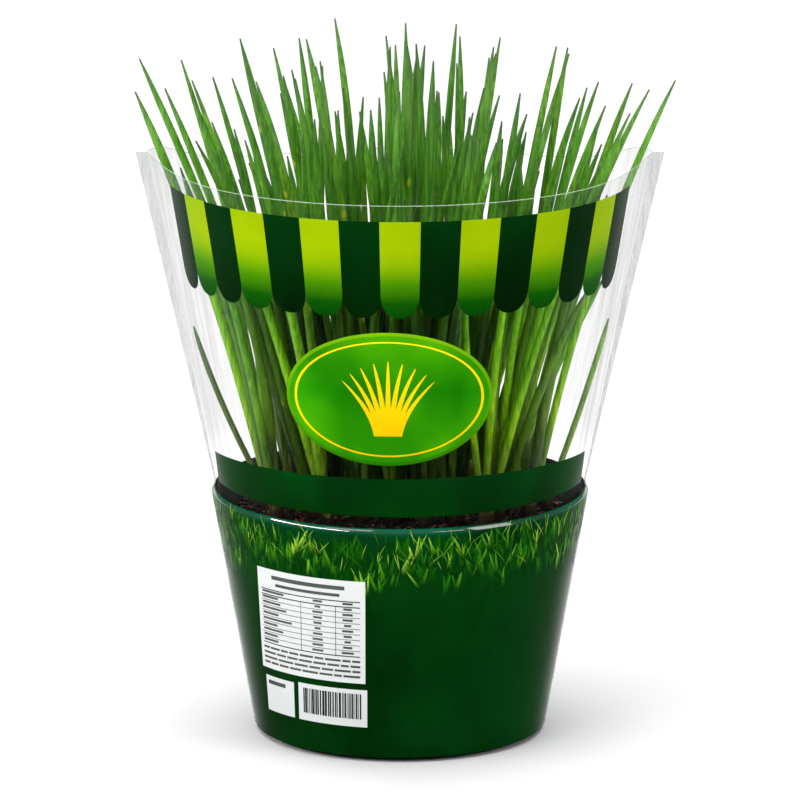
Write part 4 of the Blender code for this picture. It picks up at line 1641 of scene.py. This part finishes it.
BAR_MARGINS = (0.0024, 0.0026, 0.0032, 0.0018)


def make_rectangles_tree():
    """A flat rectangle for each given point, from its root, width and height."""
    tree, given = geometry_tree("Printed rectangles", {"Columns": 26, "Rows": 2, **ROLL_SIZES})
    grid = unit_grid(tree, given["Columns"], given["Rows"])
    half = put(tree, "GeometryNodeTransform", {"Geometry": grid, "Translation": (0.5, 0.5, 0.0)})
    spot = parts_of(put(tree, "GeometryNodeInputPosition"))
    real = copied(given["Geometry"], keep(keep(half, "across", spot["X"]), "up", spot["Y"]))
    across, up, wide, tall = carried(tree, "across", "up", "wide", "tall")
    root, = carried(tree, "root", kind="FLOAT_VECTOR")
    return finish_roll(given, placed(real, root + vector(tree, X=across * wide, Y=up * tall)))


def rectangle(left, right, low, high):
    return {"root": (left, low, 0.0), "wide": right - left, "tall": high - low}


def table_marks(draw):
    """Rules and dashes of the table: a heading, ruled rows in three columns, and lines of notes."""
    left, right, low, high = TABLE
    left += TABLE_MARGIN
    right -= TABLE_MARGIN
    middle = (left + right) / 2
    rules = []
    dashes = [
        rectangle(middle - half, middle + half, high - deep, high - top) for half, deep, top in HEADINGS
    ]
    top = high - HEADING_DEPTH
    columns = [left + TABLE_COLUMNS[0], left + TABLE_COLUMNS[1], right]
    for row in range(TABLE_ROWS + 1):
        line = top - row * ROW_HEIGHT
        thick = HEAVY_RULE if row in (0, 1, TABLE_ROWS) else RULE
        rules.append(rectangle(left, right, line - thick, line))
        if row == TABLE_ROWS:
            break
        base = line - ROW_HEIGHT / 2 - DASH_HEIGHT / 2
        end = left + draw.uniform(*DASH_END)
        dashes.append(rectangle(left + DASH_START, end, base, base + DASH_HEIGHT))
        for start, end in zip(columns, columns[1:]):
            spot = (start + end) / 2
            wide = draw.uniform(*SHORT_DASH_HALF)
            dashes.append(rectangle(spot - wide, spot + wide, base, base + DASH_HEIGHT))
    foot = top - TABLE_ROWS * ROW_HEIGHT
    for column in columns[:-1]:
        rules.append(rectangle(column, column + RULE, foot, top - ROW_HEIGHT))
    for row in range(NOTE_LINES):
        base = foot - NOTE_DROP - row * NOTE_STEP
        start = left
        while start < right - NOTE_DASH[0]:
            end = min(right, start + draw.uniform(*NOTE_DASH))
            dashes.append(rectangle(start, end, base, base + DASH_HEIGHT))
            start = end + NOTE_GAP
    return rules, dashes


def bar_marks(draw):
    """Upright bars of random widths in their box."""
    left, right, low, high = BAR_BOX
    left_margin, right_margin, low_margin, high_margin = BAR_MARGINS
    bars = []
    place = left + left_margin
    while place < right - right_margin:
        wide = draw.choice((1, 1, 2, 2, 3)) * BAR_UNIT
        bars.append(rectangle(place, place + wide, low + low_margin, high - high_margin))
        place += wide + draw.choice((1, 1, 2, 2)) * BAR_UNIT
    return bars


def even_ink(name, colour, dye=ink(200, 200, 200), upper=None):
    return make_ink(name, 0.0, 0.08, dye, (0.0, colour), (1.0, upper or colour))


white_ink = even_ink("white_ink", ink(222, 225, 223), ink(246, 248, 247), ink(228, 230, 229))
black_ink = even_ink("black_ink", ink(30, 32, 32))
grey_ink = even_ink("grey_ink", ink(92, 96, 94))
rectangles_tree = make_rectangles_tree()
mark_draw = random.Random(12)
rules, dashes = table_marks(mark_draw)
stamp = [DATE_BOX[0] + across for across in STAMP_ACROSS] + [DATE_BOX[3] - down for down in STAMP_DOWN]
dashes.append(rectangle(*stamp))
panels = [rectangle(*box) for box in (TABLE, DATE_BOX, BAR_BOX)]
for name, material, marks, columns, rows, layer in (
    ("white_panels", white_ink, panels, 26, 14, 3.4),
    ("table_rules", black_ink, rules, 26, 2, 4.6),
    ("small_print", grey_ink, dashes, 12, 2, 4.6),
    ("bars", black_ink, bar_marks(mark_draw), 2, 2, 4.6),
):
    points = points_with(name + "_rows", marks)
    print_on(name, rectangles_tree, material, points, layer, 0.6, by_arc=1, columns=columns, rows=rows)

# %% [markdown]
# The stage is a plain pale floor under a white sky, lit like a studio: a long narrow strip at the
# front left draws the bright line on the bead, and a fainter one does so at the right. A key box at
# the front left, a fill box at the right, a broad one above and a wide overhead sun give the soft
# light. The sky shows white to the camera and dimmer to the object, so that the dark print isn't
# washed out by what it mirrors.

# %% Stage
FLOOR_HALF = 6.0
SKY_LIGHT = 0.36
MIRRORED_SKY = 0.16
LAMP_AIM = Vector((0, 0, 0.12))
OVERHEAD_POWER = 1.6
OVERHEAD_WIDTH = math.radians(70)
SOFT_BOXES = (
    ("left_strip", (-1.30, -0.75, 0.80), (1.6, 0.06), 10),
    ("right_strip", (0.80, -1.35, 0.85), (0.6, 0.03), 0.7),
    ("key_box", (-0.9, -1.3, 1.5), (1.0, 0.7), 5),
    ("fill_box", (1.5, -0.9, 0.8), (0.8, 0.8), 6),
    ("top_box", (0.0, 0.2, 2.0), (1.6, 1.6), 16),
)


def make_floor():
    material, tree, shader = new_material("floor", 0.7, 0.1)
    feed(shader, {"Base Color": blend(variation(tree, 3.0), ink(246, 246, 246), ink(250, 250, 250))})
    mesh = bpy.data.meshes.new("floor")
    corners = [(x * FLOOR_HALF, y * FLOOR_HALF, 0) for x, y in ((-1, -1), (1, -1), (1, 1), (-1, 1))]
    mesh.from_pydata(corners, [], [(0, 1, 2, 3)])
    return add_object("floor", mesh, material)


def make_sky():
    world = bpy.data.worlds.new("studio")
    scene.world = world
    world.use_nodes = True
    tree = world.node_tree
    tree.nodes.clear()
    ray = put(tree, "ShaderNodeLightPath")
    mirrored = spread(ray["Is Glossy Ray"], 0, 1, SKY_LIGHT, MIRRORED_SKY)
    strength = work("MAXIMUM", mirrored, ray["Is Camera Ray"])
    light = put(tree, "ShaderNodeBackground", {"Color": (1, 1, 1, 1), "Strength": strength})
    put(tree, "ShaderNodeOutputWorld", {"Surface": light})


def soft_box(name, place, size, power):
    light = bpy.data.lights.new(name, "AREA")
    light.shape = "RECTANGLE"
    light.size, light.size_y = size
    light.energy = power
    lamp = add_object(name, light)
    lamp.location = place
    lamp.rotation_euler = (LAMP_AIM - Vector(place)).to_track_quat("-Z", "Y").to_euler()


make_floor()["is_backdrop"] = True
make_sky()
for box in SOFT_BOXES:
    soft_box(*box)
overhead = bpy.data.lights.new("overhead", "SUN")
overhead.energy = OVERHEAD_POWER
overhead.angle = OVERHEAD_WIDTH
add_object("overhead", overhead)
print("stage set with", len(SOFT_BOXES), "soft boxes and a sun")

# %% [markdown]
# Last, the size of the finished object is gathered beside that of the solids, and the finished
# size is printed.

# %% Sizes and end
low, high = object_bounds()
sizes = {"cad": [list(cad_low), list(cad_high)], "visual": [list(low), list(high)]}
print("visual", [round(x, 4) for x in high - low])
